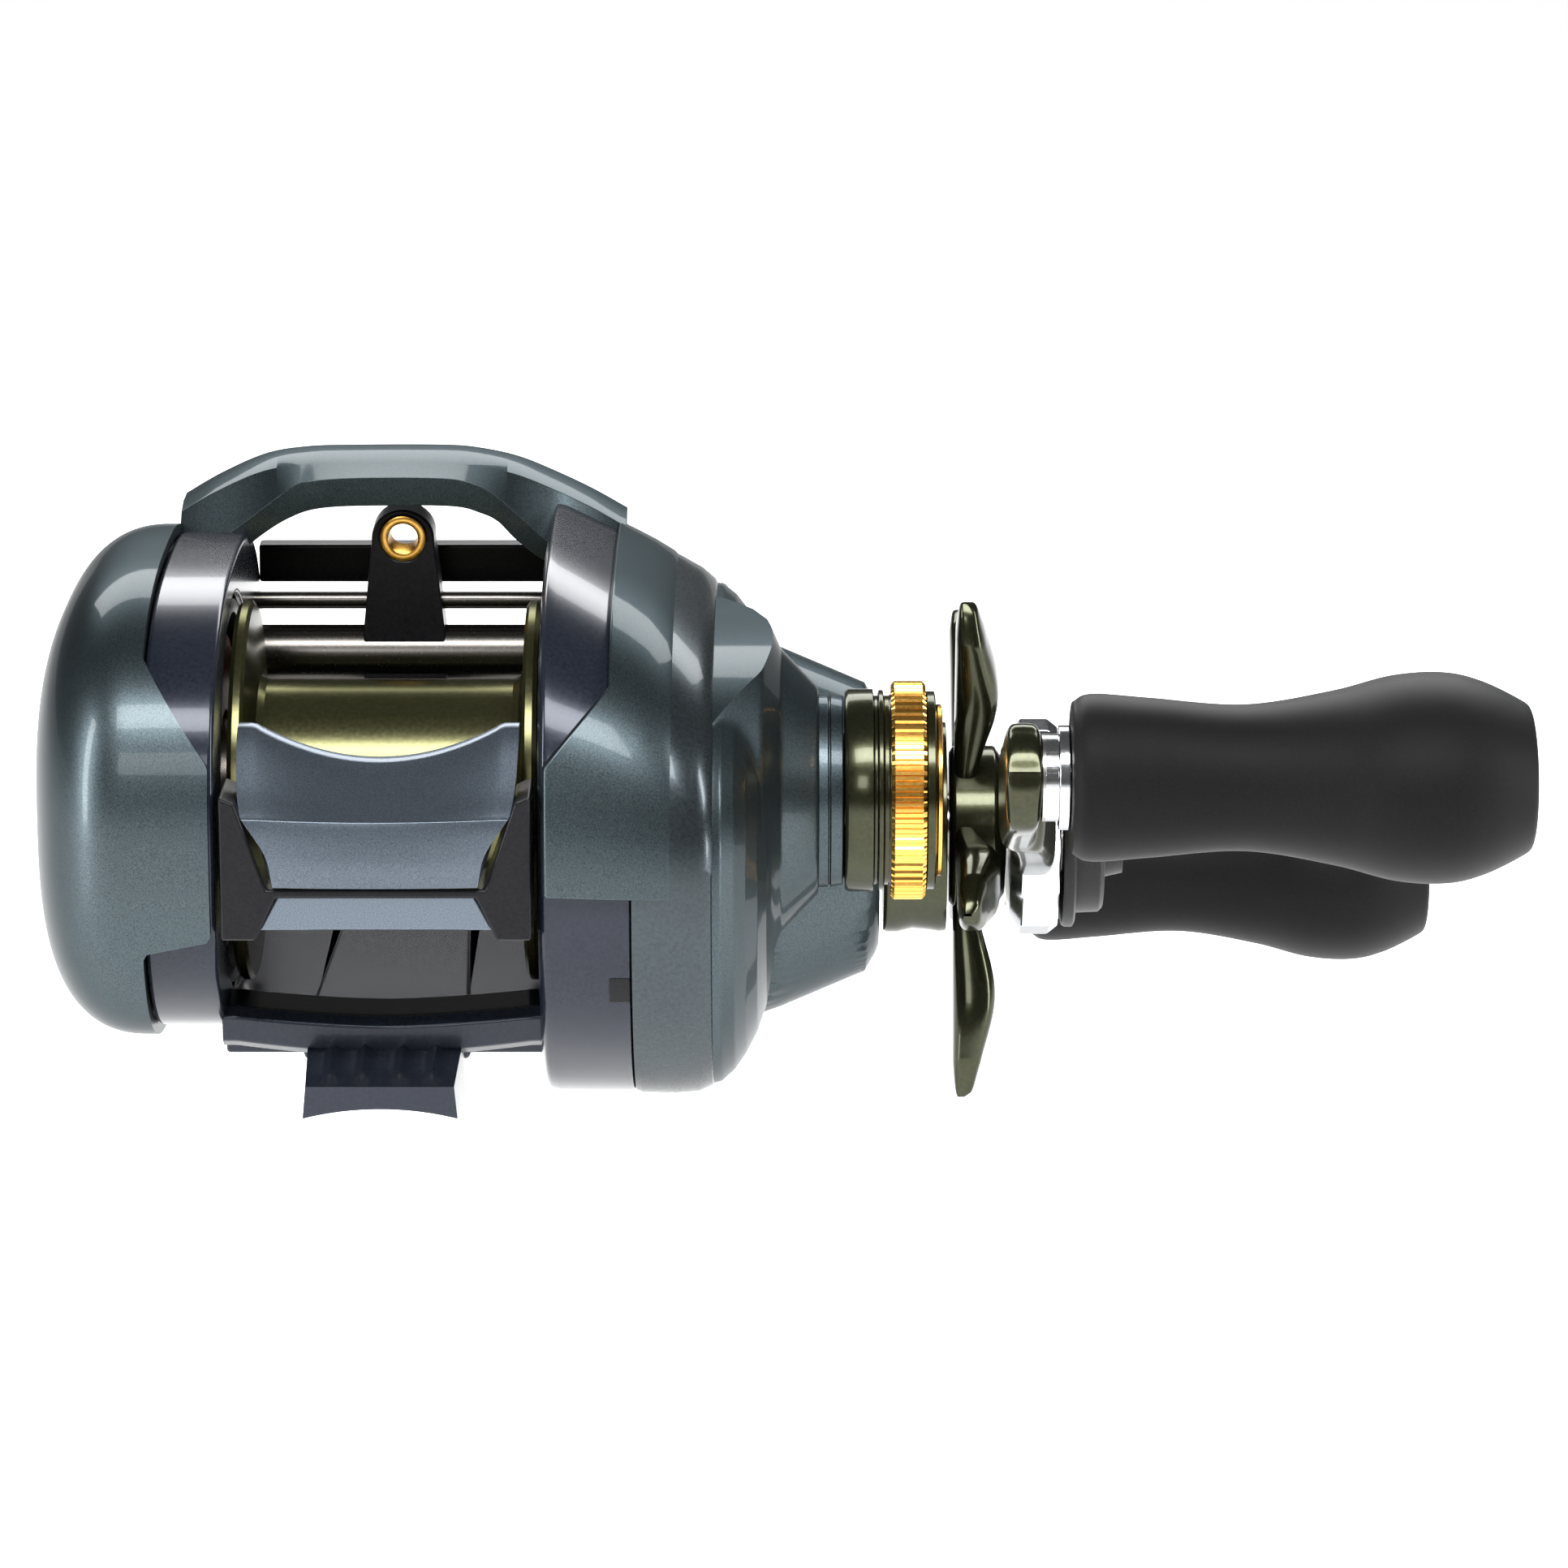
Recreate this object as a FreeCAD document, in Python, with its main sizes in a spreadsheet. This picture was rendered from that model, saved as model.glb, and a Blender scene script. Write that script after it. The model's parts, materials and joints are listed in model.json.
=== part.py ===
import FreeCAD, Part
import math
import os
import Sketcher

# Low-profile baitcasting reel. X runs along the spool axis towards the handle, Y points to the rod
# tip and Z is up. The origin is on the underside of the foot, below the middle of the spool.

doc = FreeCAD.newDocument("baitcasting_reel")
sheet = doc.addObject("Spreadsheet::Sheet", "sheet")
nodes = []


# ---- sizes: a number that carries the sheet formula it comes from ----

class Size:
    def __init__(self, number, formula):
        self.number = number
        self.formula = formula

    def join(self, other, sign, number):
        return Size(number, "(%s %s %s)" % (self.formula, sign, formula_of(other)))

    def __add__(self, other):
        return self.join(other, "+", self.number + number_of(other))

    def __sub__(self, other):
        return self.join(other, "-", self.number - number_of(other))

    def __mul__(self, other):
        return self.join(other, "*", self.number * number_of(other))

    def __truediv__(self, other):
        return self.join(other, "/", self.number / number_of(other))

    def __neg__(self):
        return Size(-self.number, "(0 - %s)" % self.formula)

    __radd__ = __add__
    __rmul__ = __mul__

    def __rsub__(self, other):
        return -self + other


def number_of(item):
    return item.number if isinstance(item, Size) else item


def formula_of(item):
    return item.formula if isinstance(item, Size) else repr(item)


def size(name, number):
    row = len(sizes) + 1
    sheet.set("A%d" % row, name)
    sheet.set("B%d" % row, str(number))
    sheet.setAlias("B%d" % row, name)
    sizes.append(name)
    return Size(number, "sheet." + name)


def bind(item, path, amount):
    if isinstance(amount, Size):
        item.setExpression(path, amount.formula)


sizes = []

axis_height = size("axis_height", 23.0)

spool_width = size("spool_width", 27.2)
spool_radius = size("spool_radius", 17.0)
arbor_radius = size("arbor_radius", 10.0)
arbor_wall = size("arbor_wall", 1.2)
flange_rim = size("flange_rim", 1.2)
flange_root = size("flange_root", 1.6)
spool_shaft_radius = size("spool_shaft_radius", 1.5)

side_gap = size("side_gap", 0.3)
turning_gap = size("turning_gap", 0.3)
bearing_fit = size("bearing_fit", 0.03)
thread_fit = size("thread_fit", 0.15)
slide_fit = size("slide_fit", 0.15)

gear_plate_thick = size("gear_plate_thick", 3.5)
palm_ring_thick = size("palm_ring_thick", 6.3)
case_wall = size("case_wall", 1.6)
case_depth = size("case_depth", 8.0)
cover_depth = size("cover_depth", 3.9)
corner_round = size("corner_round", 4.0)

palm_rear = size("palm_rear", 26.0)
palm_front = size("palm_front", 35.0)
palm_top = size("palm_top", 21.5)
palm_bottom = size("palm_bottom", 20.5)
palm_depth = size("palm_depth", 10.95)
palm_dome = size("palm_dome", 3.4)
palm_outer_wall = size("palm_outer_wall", 3.6)

gear_rear = size("gear_rear", 27.0)
gear_front = size("gear_front", 38.5)
gear_top = size("gear_top", 20.5)
gear_bottom = size("gear_bottom", 28.5)
rear_corner = size("rear_corner", 13.0)
low_corner = size("low_corner", 11.0)
palm_under = size("palm_under", 12.0)
gear_under = size("gear_under", 22.0)
front_corner = size("front_corner", 6.0)

foot_width = size("foot_width", 14.2)
foot_taper = size("foot_taper", 0.55)
foot_thick = size("foot_thick", 3.4)
foot_rear = size("foot_rear", 25.0)
foot_front = size("foot_front", 36.0)
saddle_radius = size("saddle_radius", 27.0)

drive_module = size("drive_module", 0.375)
drive_teeth = 93
pinion_teeth = 15
train_module = size("train_module", 0.5)
main_train_teeth = 30
idler_teeth = 20
worm_train_teeth = 18
backlash = size("backlash", 0.1)
main_drop = size("main_drop", 8.44)
main_shaft_radius = size("main_shaft_radius", 3.0)

guide_y = size("guide_y", 24.0)
worm_lift = size("worm_lift", 6.8)
bar_lift = size("bar_lift", 11.8)
eye_lift = size("eye_lift", 18.1)
eye_bore = size("eye_bore", 1.3)
eye_wall = size("eye_wall", 0.8)
worm_radius = size("worm_radius", 1.7)
worm_journal = size("worm_journal", 1.2)
tube_bore = size("tube_bore", 2.1)
tube_wall = size("tube_wall", 0.5)
bar_radius = size("bar_radius", 0.8)
guide_width = size("guide_width", 7.6)

thumb_travel = size("thumb_travel", 4.5)
thumb_half_width = size("thumb_half_width", 13.5)

crank = size("crank", 48.0)
arm_width = size("arm_width", 9.44)
arm_thick = size("arm_thick", 3.2)
handle_angle = size("handle_angle", 159.65)
knob_length = size("knob_length", 39.55)
knob_shaft_radius = size("knob_shaft_radius", 2.0)
knob_fit = size("knob_fit", 0.1)
star_radius = size("star_radius", 25.2)
star_blades = 5
bell_radius = size("bell_radius", 9.8)
cap_radius = size("cap_radius", 9.1)
grip_radius = size("grip_radius", 9.8)
neck_radius = size("neck_radius", 7.0)

doc.recompute()


# ---- shape makers ----

TURN_TO_X = FreeCAD.Rotation(FreeCAD.Vector(0, 1, 0), 90)
TURN_TO_Y = FreeCAD.Rotation(FreeCAD.Vector(1, 0, 0), -90)
UPRIGHT = FreeCAD.Rotation()


def place(item, x, y, z, turn=UPRIGHT):
    base = FreeCAD.Vector(number_of(x), number_of(y), number_of(z))
    item.Placement = FreeCAD.Placement(base, turn)
    bind(item, "Placement.Base.x", x)
    bind(item, "Placement.Base.y", y)
    bind(item, "Placement.Base.z", z)


def node(item, label):
    item.Label = label
    nodes.append(item)
    return item


def rod(name, radius, start, end, at, axis="X"):
    item = doc.addObject("Part::Cylinder", name)
    item.Radius = number_of(radius)
    item.Height = number_of(end) - number_of(start)
    bind(item, "Radius", radius)
    bind(item, "Height", end - start)
    if axis == "X":
        place(item, start, at[0], at[1], TURN_TO_X)
    elif axis == "Y":
        place(item, at[0], start, at[1], TURN_TO_Y)
    else:
        place(item, at[0], at[1], start)
    return item


def block(name, x, y, z):
    item = doc.addObject("Part::Box", name)
    for side, span in (("Length", x), ("Width", y), ("Height", z)):
        setattr(item, side, number_of(span[1]) - number_of(span[0]))
        bind(item, side, span[1] - span[0])
    place(item, x[0], y[0], z[0])
    return item


def fuse(name, items):
    item = doc.addObject("Part::MultiFuse", name)
    item.Shapes = items
    item.Refine = True
    return item


def overlap(name, items):
    item = doc.addObject("Part::MultiCommon", name)
    item.Shapes = items
    return item


def cut(name, base, tools):
    tool = tools[0] if len(tools) == 1 else fuse(name + "_tools", tools)
    item = doc.addObject("Part::Cut", name)
    item.Base = base
    item.Tool = tool
    item.Refine = True
    return item


def sketch_in(body, name, role, points):
    sketch = body.newObject("Sketcher::SketchObject", name)
    plane = next(feature for feature in body.Origin.OriginFeatures if feature.Role == role)
    sketch.AttachmentSupport = [(plane, "")]
    sketch.MapMode = "FlatFace"
    flat = [FreeCAD.Vector(number_of(across), number_of(up), 0) for across, up in points]
    count = len(points)
    for index in range(count):
        sketch.addGeometry(Part.LineSegment(flat[index], flat[(index + 1) % count]))
    for index in range(count):
        sketch.addConstraint(Sketcher.Constraint("Coincident", index, 2, (index + 1) % count, 1))
    for index, (across, up) in enumerate(points):
        for kind, amount, zero_axis in (("DistanceX", across, -2), ("DistanceY", up, -1)):
            if number_of(amount) == 0 and not isinstance(amount, Size):
                sketch.addConstraint(Sketcher.Constraint("PointOnObject", index, 1, zero_axis))
                continue
            here = Sketcher.Constraint(kind, -1, 1, index, 1, float(number_of(amount)))
            bind(sketch, "Constraints[%d]" % sketch.addConstraint(here), amount)
    return sketch


def turned(name, profile, at):
    """Revolve a profile of (x, radius) points about a line along X."""
    body = doc.addObject("PartDesign::Body", name)
    sketch = sketch_in(body, name + "_profile", "XY_Plane", profile)
    revolution = body.newObject("PartDesign::Revolution", name + "_revolution")
    revolution.Profile = sketch
    revolution.ReferenceAxis = (sketch, ["H_Axis"])
    revolution.Angle = 360
    place(body, 0, at[0], at[1])
    return body


PLANES = {"X": "YZ_Plane", "Y": "XZ_Plane", "Z": "XY_Plane"}


def prism(name, outline, axis, start, end, rounding=None):
    """Pad an outline along an axis and round the edges that run along it."""
    body = doc.addObject("PartDesign::Body", name)
    sketch = sketch_in(body, name + "_outline", PLANES[axis], outline)
    pad = body.newObject("PartDesign::Pad", name + "_pad")
    pad.Profile = sketch
    pad.Length = number_of(end) - number_of(start)
    bind(pad, "Length", end - start)
    if axis == "X":
        place(body, start, 0, axis_height)
    elif axis == "Y":
        place(body, 0, end, axis_height)
    else:
        place(body, 0, 0, start)
    if rounding is not None:
        doc.recompute()
        along = {"X": FreeCAD.Vector(1, 0, 0), "Y": FreeCAD.Vector(0, 1, 0), "Z": FreeCAD.Vector(0, 0, 1)}[axis]
        names = []
        for index, edge in enumerate(pad.Shape.Edges):
            run = edge.Vertexes[-1].Point - edge.Vertexes[0].Point
            if abs(abs(run.normalize().dot(along)) - 1) < 1e-6:
                names.append("Edge%d" % (index + 1))
        rounded = body.newObject("PartDesign::Fillet", name + "_rounding")
        rounded.Base = (pad, names)
        rounded.Radius = number_of(rounding)
        bind(rounded, "Radius", rounding)
    return body


def shield(rear, front, top, bottom, under, inset=0):
    """Side outline in (y, height above the spool axis), with cut corners."""
    back = inset - rear
    nose = front - inset
    roof = top - inset
    floor = inset - bottom
    near = rear_corner
    low = low_corner
    far = front_corner
    return [(back, floor + under), (back + under, floor), (nose - low, floor), (nose, floor + low),
            (nose, roof - far), (nose - far, roof), (back + near, roof), (back, roof - near)]


def radial(name, x, reach, width, angle):
    """A bar in the plane across the main shaft, from one radius to another."""
    item = doc.addObject("Part::Box", name)
    item.Length = number_of(x[1]) - number_of(x[0])
    item.Width = number_of(reach[1]) - number_of(reach[0])
    item.Height = number_of(width)
    bind(item, "Length", x[1] - x[0])
    bind(item, "Width", reach[1] - reach[0])
    bind(item, "Height", width)
    turn = FreeCAD.Rotation(FreeCAD.Vector(1, 0, 0), angle)
    corner = turn.multVec(FreeCAD.Vector(0, number_of(reach[0]), -number_of(width) / 2))
    centre = FreeCAD.Vector(number_of(x[0]), number_of(main_y), number_of(main_z))
    item.Placement = FreeCAD.Placement(centre + corner, turn)
    return item


def involute_angle(radius, base):
    tangent = math.sqrt(max(radius * radius - base * base, 0)) / base
    return tangent - math.atan(tangent)


def gear_shape(teeth, module, bore, start, end, at, phase):
    """Spur gear with involute flanks; phase is the angle of one tooth, in degrees from +Y."""
    pitch = module * teeth / 2
    base = pitch * math.cos(math.radians(20))
    tip = pitch + module * 0.95
    root = pitch - module * 1.2
    half_tooth = (math.pi * module / 2 - number_of(backlash) / 2) / (2 * pitch)
    low = max(base, root)
    corners = []
    for tooth in range(teeth):
        middle = math.radians(phase) + 2 * math.pi * tooth / teeth
        flank = []
        for share in (0, 0.35, 0.7, 1):
            radius = low + (tip - low) * share
            spread = half_tooth + involute_angle(pitch, base) - involute_angle(radius, base)
            flank.append((radius, spread))
        if root < low:
            flank.insert(0, (root, flank[0][1]))
        corners += [(radius, middle - spread) for radius, spread in flank]
        corners += [(radius, middle + spread) for radius, spread in reversed(flank)]
    points = [FreeCAD.Vector(0, radius * math.cos(angle), radius * math.sin(angle)) for radius, angle in corners]
    face = Part.Face(Part.makePolygon(points + points[:1]))
    shape = face.extrude(FreeCAD.Vector(end - start, 0, 0))
    hole = Part.makeCylinder(bore, end - start, FreeCAD.Vector(), FreeCAD.Vector(1, 0, 0))
    shape = shape.cut(hole)
    shape.translate(FreeCAD.Vector(start, at[0], at[1]))
    return shape


def feature(name, shape):
    item = doc.addObject("Part::Feature", name)
    item.Shape = shape
    return item


def meshing_phase(driver, driven, driver_teeth, driven_teeth, phase):
    """Angle of a tooth of the driven gear that puts a gap opposite the driver's tooth."""
    toward = math.degrees(math.atan2(driven[1] - driver[1], driven[0] - driver[0]))
    return toward + 180 + 180 / driven_teeth - (phase - toward) * driver_teeth / driven_teeth


def meet(one, reach_one, two, reach_two):
    """Lower of the two points at given distances from two centres."""
    apart = math.dist(one, two)
    along = (reach_one ** 2 - reach_two ** 2 + apart ** 2) / (2 * apart)
    off = math.sqrt(reach_one ** 2 - along ** 2)
    run = ((two[0] - one[0]) / apart, (two[1] - one[1]) / apart)
    return (one[0] + run[0] * along + run[1] * off, one[1] + run[1] * along - run[0] * off)


# ---- places worked out from the sizes ----

inner_face = spool_width / 2 + side_gap
gear_face = inner_face + gear_plate_thick
palm_face = inner_face + palm_ring_thick
case_end = gear_face + case_depth
cover_face = case_end + cover_depth
palm_end = palm_face + palm_depth

centre_distance = drive_module * (drive_teeth + pinion_teeth) / 2
main_y = Size(math.sqrt(centre_distance.number ** 2 - main_drop.number ** 2),
              "sqrt(%s * %s - %s * %s)" % ((centre_distance.formula,) * 2 + (main_drop.formula,) * 2))
main_z = axis_height - main_drop
spool_axis = (0, axis_height)
main_axis = (main_y, main_z)
worm_axis = (guide_y, axis_height + worm_lift)
bar_axis = (guide_y, axis_height + bar_lift)

gear_outline = (gear_rear, gear_front, gear_top, gear_bottom, gear_under)
palm_outline = (palm_rear, palm_front, palm_top, palm_bottom, palm_under)


# ---- gear train to the level wind: one idler in front of the main shaft ----

TRAIN_TEETH = (main_train_teeth, idler_teeth, worm_train_teeth)
train_radii = [number_of(train_module) * teeth / 2 for teeth in TRAIN_TEETH]
train_start = gear_face + 0.6
train_end = train_start + 1.6
main_centre = (main_y.number, main_z.number)
worm_centre = (guide_y.number, (axis_height + worm_lift).number)
idler_centre = meet(main_centre, train_radii[0] + train_radii[1], worm_centre, train_radii[1] + train_radii[2])
train_centres = [main_centre, idler_centre, worm_centre]
train_phases = [0.0]
for index in range(2):
    pair = (train_centres[index], train_centres[index + 1], TRAIN_TEETH[index], TRAIN_TEETH[index + 1])
    train_phases.append(meshing_phase(*pair, train_phases[index]))
post_radius = 1.5
post_gap = bearing_fit.number


# ---- frame: palm ring, gear plate, crossbars and foot, machined as one piece ----

palm_ring = prism("palm_ring", shield(*palm_outline), "X", -palm_face, -inner_face, corner_round)
gear_plate = prism("gear_plate", shield(*gear_outline), "X", inner_face, gear_face, corner_round)
floor_plate = block("floor_plate", (-inner_face - 0.5, inner_face + 0.5), (-14, 24),
                    (axis_height - spool_radius - 3.5, axis_height - spool_radius - 1.3))
rear_crossbar = block("rear_crossbar", (-inner_face - 0.5, inner_face + 0.5), (-17.5, -10.5),
                      (axis_height - spool_radius - 2.0, axis_height - spool_radius + 1.9))
foot_side = foot_width / 2
foot_sole = foot_side - foot_taper
foot_block = prism("foot_block", [(-foot_sole, -axis_height), (foot_sole, -axis_height),
                                  (foot_side, foot_thick - axis_height), (-foot_side, foot_thick - axis_height)],
                   "Y", -foot_rear, foot_front)
saddle_drop = Size(math.sqrt(saddle_radius.number ** 2 - foot_sole.number ** 2),
                   "sqrt(%s * %s - %s * %s)" % ((saddle_radius.formula,) * 2 + (foot_sole.formula,) * 2))
saddle = rod("saddle", saddle_radius, -foot_rear - 1, foot_front + 1, (0, -saddle_drop), "Y")
foot = cut("foot", foot_block, [saddle])
foot_ribs = [block("foot_rib_%d" % count, (offset - 0.5, offset + 0.5), (-foot_rear + 1, -16),
                   (foot_thick - 0.2, foot_thick + 0.6)) for count, offset in enumerate((-4.5, -1.5, 1.5, 4.5))]
foot_stem = block("foot_stem", (-foot_side, foot_side), (-14, 22),
                  (foot_thick - 0.5, axis_height - spool_radius - 2.0))
idler_post = rod("idler_post", post_radius, gear_face - 0.5, train_end + 0.3, idler_centre)
yoke_places = [(-6.0, axis_height + 7.0), (7.0, axis_height + 9.5)]
yoke_post_radius = 1.0
yoke_posts = [rod("yoke_post_%d" % count, yoke_post_radius, gear_face - 0.5, gear_face + 9.4, spot)
              for count, spot in enumerate(yoke_places)]
screw_places = [(-16.5, axis_height - 9.5), (-15, axis_height + 8.5), (31, axis_height + 10)]
screw_radius = 0.9
screw_head = 1.8
screw_posts = [rod("screw_post_%d" % count, 2.0, gear_face - 0.5, case_end, spot)
               for count, spot in enumerate(screw_places)]
frame_blank = fuse("frame_blank", [palm_ring, gear_plate, floor_plate, rear_crossbar, foot, foot_stem]
                   + foot_ribs + [idler_post] + yoke_posts + screw_posts)

housing_radius = spool_radius + 0.2
bearing_radius = 5.0
bearing_start = gear_face - 3.0
bush_radius = 2.0
tab_y = (-22.0, -20.0)
tab_height = (-6.0, -4.0)
slot_y = (tab_y[0] - slide_fit, tab_y[1] + slide_fit)
slot_z = (axis_height + tab_height[0] - thumb_travel - slide_fit, axis_height + tab_height[1] + slide_fit)
frame_cuts = [
    rod("palm_bore", spool_radius + 0.6, -palm_face - 1, -inner_face + 1, spool_axis),
    rod("spool_bearing_seat", bearing_radius, bearing_start, gear_face + 0.1, spool_axis),
    rod("spool_passage", spool_shaft_radius + 2.0, inner_face - 1, gear_face, spool_axis),
    rod("main_bearing_seat", bearing_radius, bearing_start, gear_face + 0.1, main_axis),
    rod("worm_seat_palm", bush_radius, -inner_face - 2.1, -inner_face + 0.1, worm_axis),
    rod("worm_seat_gear", bush_radius, inner_face - 0.1, gear_face + 0.1, worm_axis),
    rod("bar_seat", bar_radius, -inner_face - 1.5, inner_face + 1.5, bar_axis),
    block("slot_palm", (-inner_face - 3.4, -inner_face + 0.1), slot_y, slot_z),
    block("slot_gear", (inner_face - 0.1, inner_face + 3.0), slot_y, slot_z),
]
frame_cuts += [rod("screw_hole_%d" % count, screw_radius, gear_face + 2, case_end + 1, spot)
               for count, spot in enumerate(screw_places)]
node(cut("frame_solid", frame_blank, frame_cuts), "frame")

bridge_y = (19.0, 29.0)
hood_outer = [(-palm_face, palm_top), (-13.0, palm_top + 2.6), (-7.5, palm_top + 4.2), (7.5, palm_top + 4.2),
              (13.0, palm_top + 2.6), (gear_face, gear_top)]
hood_inner = [(inner_face, gear_top), (inner_face - 1.0, eye_lift + 3.6), (1.0 - inner_face, eye_lift + 3.6),
              (-inner_face, palm_top)]
node(prism("hood", hood_outer + hood_inner, "Y", bridge_y[0], bridge_y[1]), "top_cover")
node(block("cross_bar", (-inner_face, inner_face), (29.4, 31.8), (axis_height + 12.2, axis_height + 15.8)),
     "front_crossbar")

node(rod("guide_bar", bar_radius, -inner_face - 1.5, inner_face + 1.5, bar_axis), "level_wind_bar")
tube_outer = rod("tube_outer", tube_bore + tube_wall, -inner_face, inner_face, worm_axis)
tube_hole = rod("tube_hole", tube_bore, -inner_face - 1, inner_face + 1, worm_axis)
tube_slot = block("tube_slot", (-inner_face + 2, inner_face - 2), (guide_y - 0.8, guide_y + 0.8),
                  (axis_height + worm_lift - tube_bore - tube_wall - 1, axis_height + worm_lift - 1))
node(cut("tube", tube_outer, [tube_hole, tube_slot]), "worm_tube")


def ring(name, outer, bore, start, end, at):
    return turned(name, [(start, bore), (end, bore), (end, outer), (start, outer)], at)


node(ring("bush_palm", bush_radius, worm_journal + bearing_fit, -inner_face - 2.1, -inner_face, worm_axis),
     "worm_bushing_palm")
node(ring("bush_gear", bush_radius, worm_journal + bearing_fit, inner_face, gear_face, worm_axis),
     "worm_bushing_gear")
node(ring("bearing_s", bearing_radius, spool_shaft_radius + bearing_fit, bearing_start, gear_face, spool_axis),
     "spool_bearing_handle")
node(ring("bearing_m", bearing_radius, main_shaft_radius + bearing_fit, bearing_start, gear_face, main_axis),
     "main_shaft_bearing")


# ---- gear case and handle side plate ----

case_outside = prism("case_outside", shield(*gear_outline), "X", gear_face, case_end, corner_round)
case_inside = prism("case_inside", shield(*gear_outline, inset=case_wall), "X", gear_face - 1, case_end + 1)
node(cut("case_solid", case_outside, [case_inside]), "gear_case")

cover_outline = prism("cover_outline", shield(*gear_outline), "X", case_end, cover_face, corner_round)
boss_end = cover_face + 9.05
boss = turned("boss", [(case_end, 0), (case_end, 19.0), (cover_face + 1.4, 19.0), (cover_face + 2.9, 17.1),
                       (cover_face + 5.2, 12.7), (boss_end - 0.15, 9.3), (boss_end, 8.5), (boss_end + 0.8, 8.5),
                       (boss_end + 0.8, 8.1), (boss_end + 2.05, 8.1), (boss_end + 2.05, neck_radius),
                       (boss_end + 5.65, neck_radius), (boss_end + 5.65, 0)], spool_axis)
bulge_end = cover_face + 14.65
bulge = turned("bulge", [(case_end, 0), (case_end, 25.3), (cover_face + 0.3, 25.3), (cover_face + 2.0, 23.5),
                         (cover_face + 5.0, 19.8), (cover_face + 5.6, 17.1), (cover_face + 8.4, 15.7),
                         (cover_face + 12.9, 13.4), (bulge_end - 0.1, 11.1), (bulge_end, 10.7), (bulge_end, 0)],
               main_axis)
limit = prism("cover_limit", shield(*gear_outline), "X", case_end, cover_face + 20, corner_round)
cover_shape = overlap("cover_shape", [limit, fuse("cover_joined", [cover_outline, boss, bulge])])

gear_tip = drive_module * (drive_teeth + 2) / 2
pinion_end = gear_face + 17.0
shaft_end = boss_end - 0.15
clutch_room = drive_module * (pinion_teeth + 2) / 2 + 0.6
cap_start = boss_end + 2.25
cover_cuts = [
    prism("cover_inside", shield(*gear_outline, inset=case_wall), "X", case_end - 1, cover_face - 1.5),
    rod("gear_room", gear_tip + 0.6, case_end - 1, cover_face + 2.3, main_axis),
    rod("drag_room", 12.8, case_end - 1, cover_face + 4.5, main_axis),
    rod("sleeve_room", main_shaft_radius + 1.35, case_end, bulge_end + 1, main_axis),
    rod("one_way_seat", 7.5, bulge_end - 5.4, bulge_end - 0.4, main_axis),
    rod("pinion_room", clutch_room, case_end - 1, gear_face + 15.6, spool_axis),
    rod("pinion_bearing_seat", 4.2, gear_face + 15.6, gear_face + 17.8, spool_axis),
    rod("stub_room", spool_shaft_radius + 0.9, case_end, boss_end + 3, spool_axis),
]
cap_relief = ring("cap_relief", cap_radius + 0.6, neck_radius, cap_start - 0.2, cover_face + 30, spool_axis)
cover_cuts += [cap_relief]
cover_cuts += [rod("cover_hole_%d" % count, screw_radius, case_end - 1, cover_face + 1, spot)
               for count, spot in enumerate(screw_places)]
cover_cuts += [rod("screw_recess_%d" % count, screw_head + 0.2, cover_face, cover_face + 20, spot)
               for count, spot in enumerate(screw_places)]
node(cut("cover_solid", cover_shape, cover_cuts), "handle_side_plate")
node(ring("bearing_p", 4.2, spool_shaft_radius + 0.45 + bearing_fit, gear_face + 15.6, gear_face + 17.8, spool_axis),
     "pinion_bearing")
node(ring("bearing_o", 7.5, main_shaft_radius + 1.0 + bearing_fit, bulge_end - 5.4, bulge_end - 0.4, main_axis),
     "one_way_bearing")


# ---- palm side: side plate, brake housing, coil, circuit board and dial ----

dial_place = (6.0, axis_height)
dial_radius = 6.2
palm_shell = prism("palm_shell", shield(*palm_outline), "X", -palm_end, -palm_face, corner_round)
doc.recompute()
palm_rounding = palm_shell.Tip
outer_edges = ["Edge%d" % (index + 1) for index, edge in enumerate(palm_rounding.Shape.Edges)
               if max(abs(corner.X) for corner in edge.Vertexes) < 1e-6]
palm_rim = palm_shell.newObject("PartDesign::Chamfer", "palm_shell_rim")
palm_rim.Base = (palm_rounding, outer_edges)
palm_rim.Size = palm_dome.number
bind(palm_rim, "Size", palm_dome)
palm_cavity = prism("palm_cavity", shield(*palm_outline, inset=case_wall), "X", -palm_end + palm_outer_wall,
                    -palm_face + 1)
dial_pocket = rod("dial_pocket", dial_radius + turning_gap, -palm_end - 1, -palm_end + 1.9, dial_place)
palm_hollow = cut("palm_hollow", palm_shell, [palm_cavity, dial_pocket])
palm_boss = rod("palm_boss", 4.0, -palm_end + palm_outer_wall - 0.5, -palm_face - 2.4, spool_axis)
node(fuse("palm_solid", [palm_hollow, palm_boss]), "palm_side_plate")
node(rod("dial", dial_radius, -palm_end, -palm_end + 1.6, dial_place), "brake_dial")
back = -palm_face
housing_flange = housing_radius + 1.4
coil_radius = housing_radius - 3.2
node(turned("housing", [(back - 1.2, 0), (back - 1.2, housing_flange), (back, housing_flange), (back, housing_radius),
                        (back + 6.0, housing_radius), (back + 6.0, housing_radius - 1.2),
                        (back + 1.0, housing_radius - 1.2), (back + 1.0, 5.2), (back + 2.4, 5.2),
                        (back + 2.4, 4.0), (back + 0.2, 4.0), (back + 0.2, 0)], spool_axis), "brake_housing")
node(ring("coil", coil_radius, 7.3, back + 1.0, back + 5.3, spool_axis), "brake_coil")
node(rod("board", coil_radius, back - 2.4, back - 1.2, spool_axis), "circuit_board")
node(ring("bearing_b", 4.0, spool_shaft_radius + bearing_fit, back + 0.2, back + 2.4, spool_axis),
     "spool_bearing_palm")


# ---- spool, its shaft, drive pin and rotor ----

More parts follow.
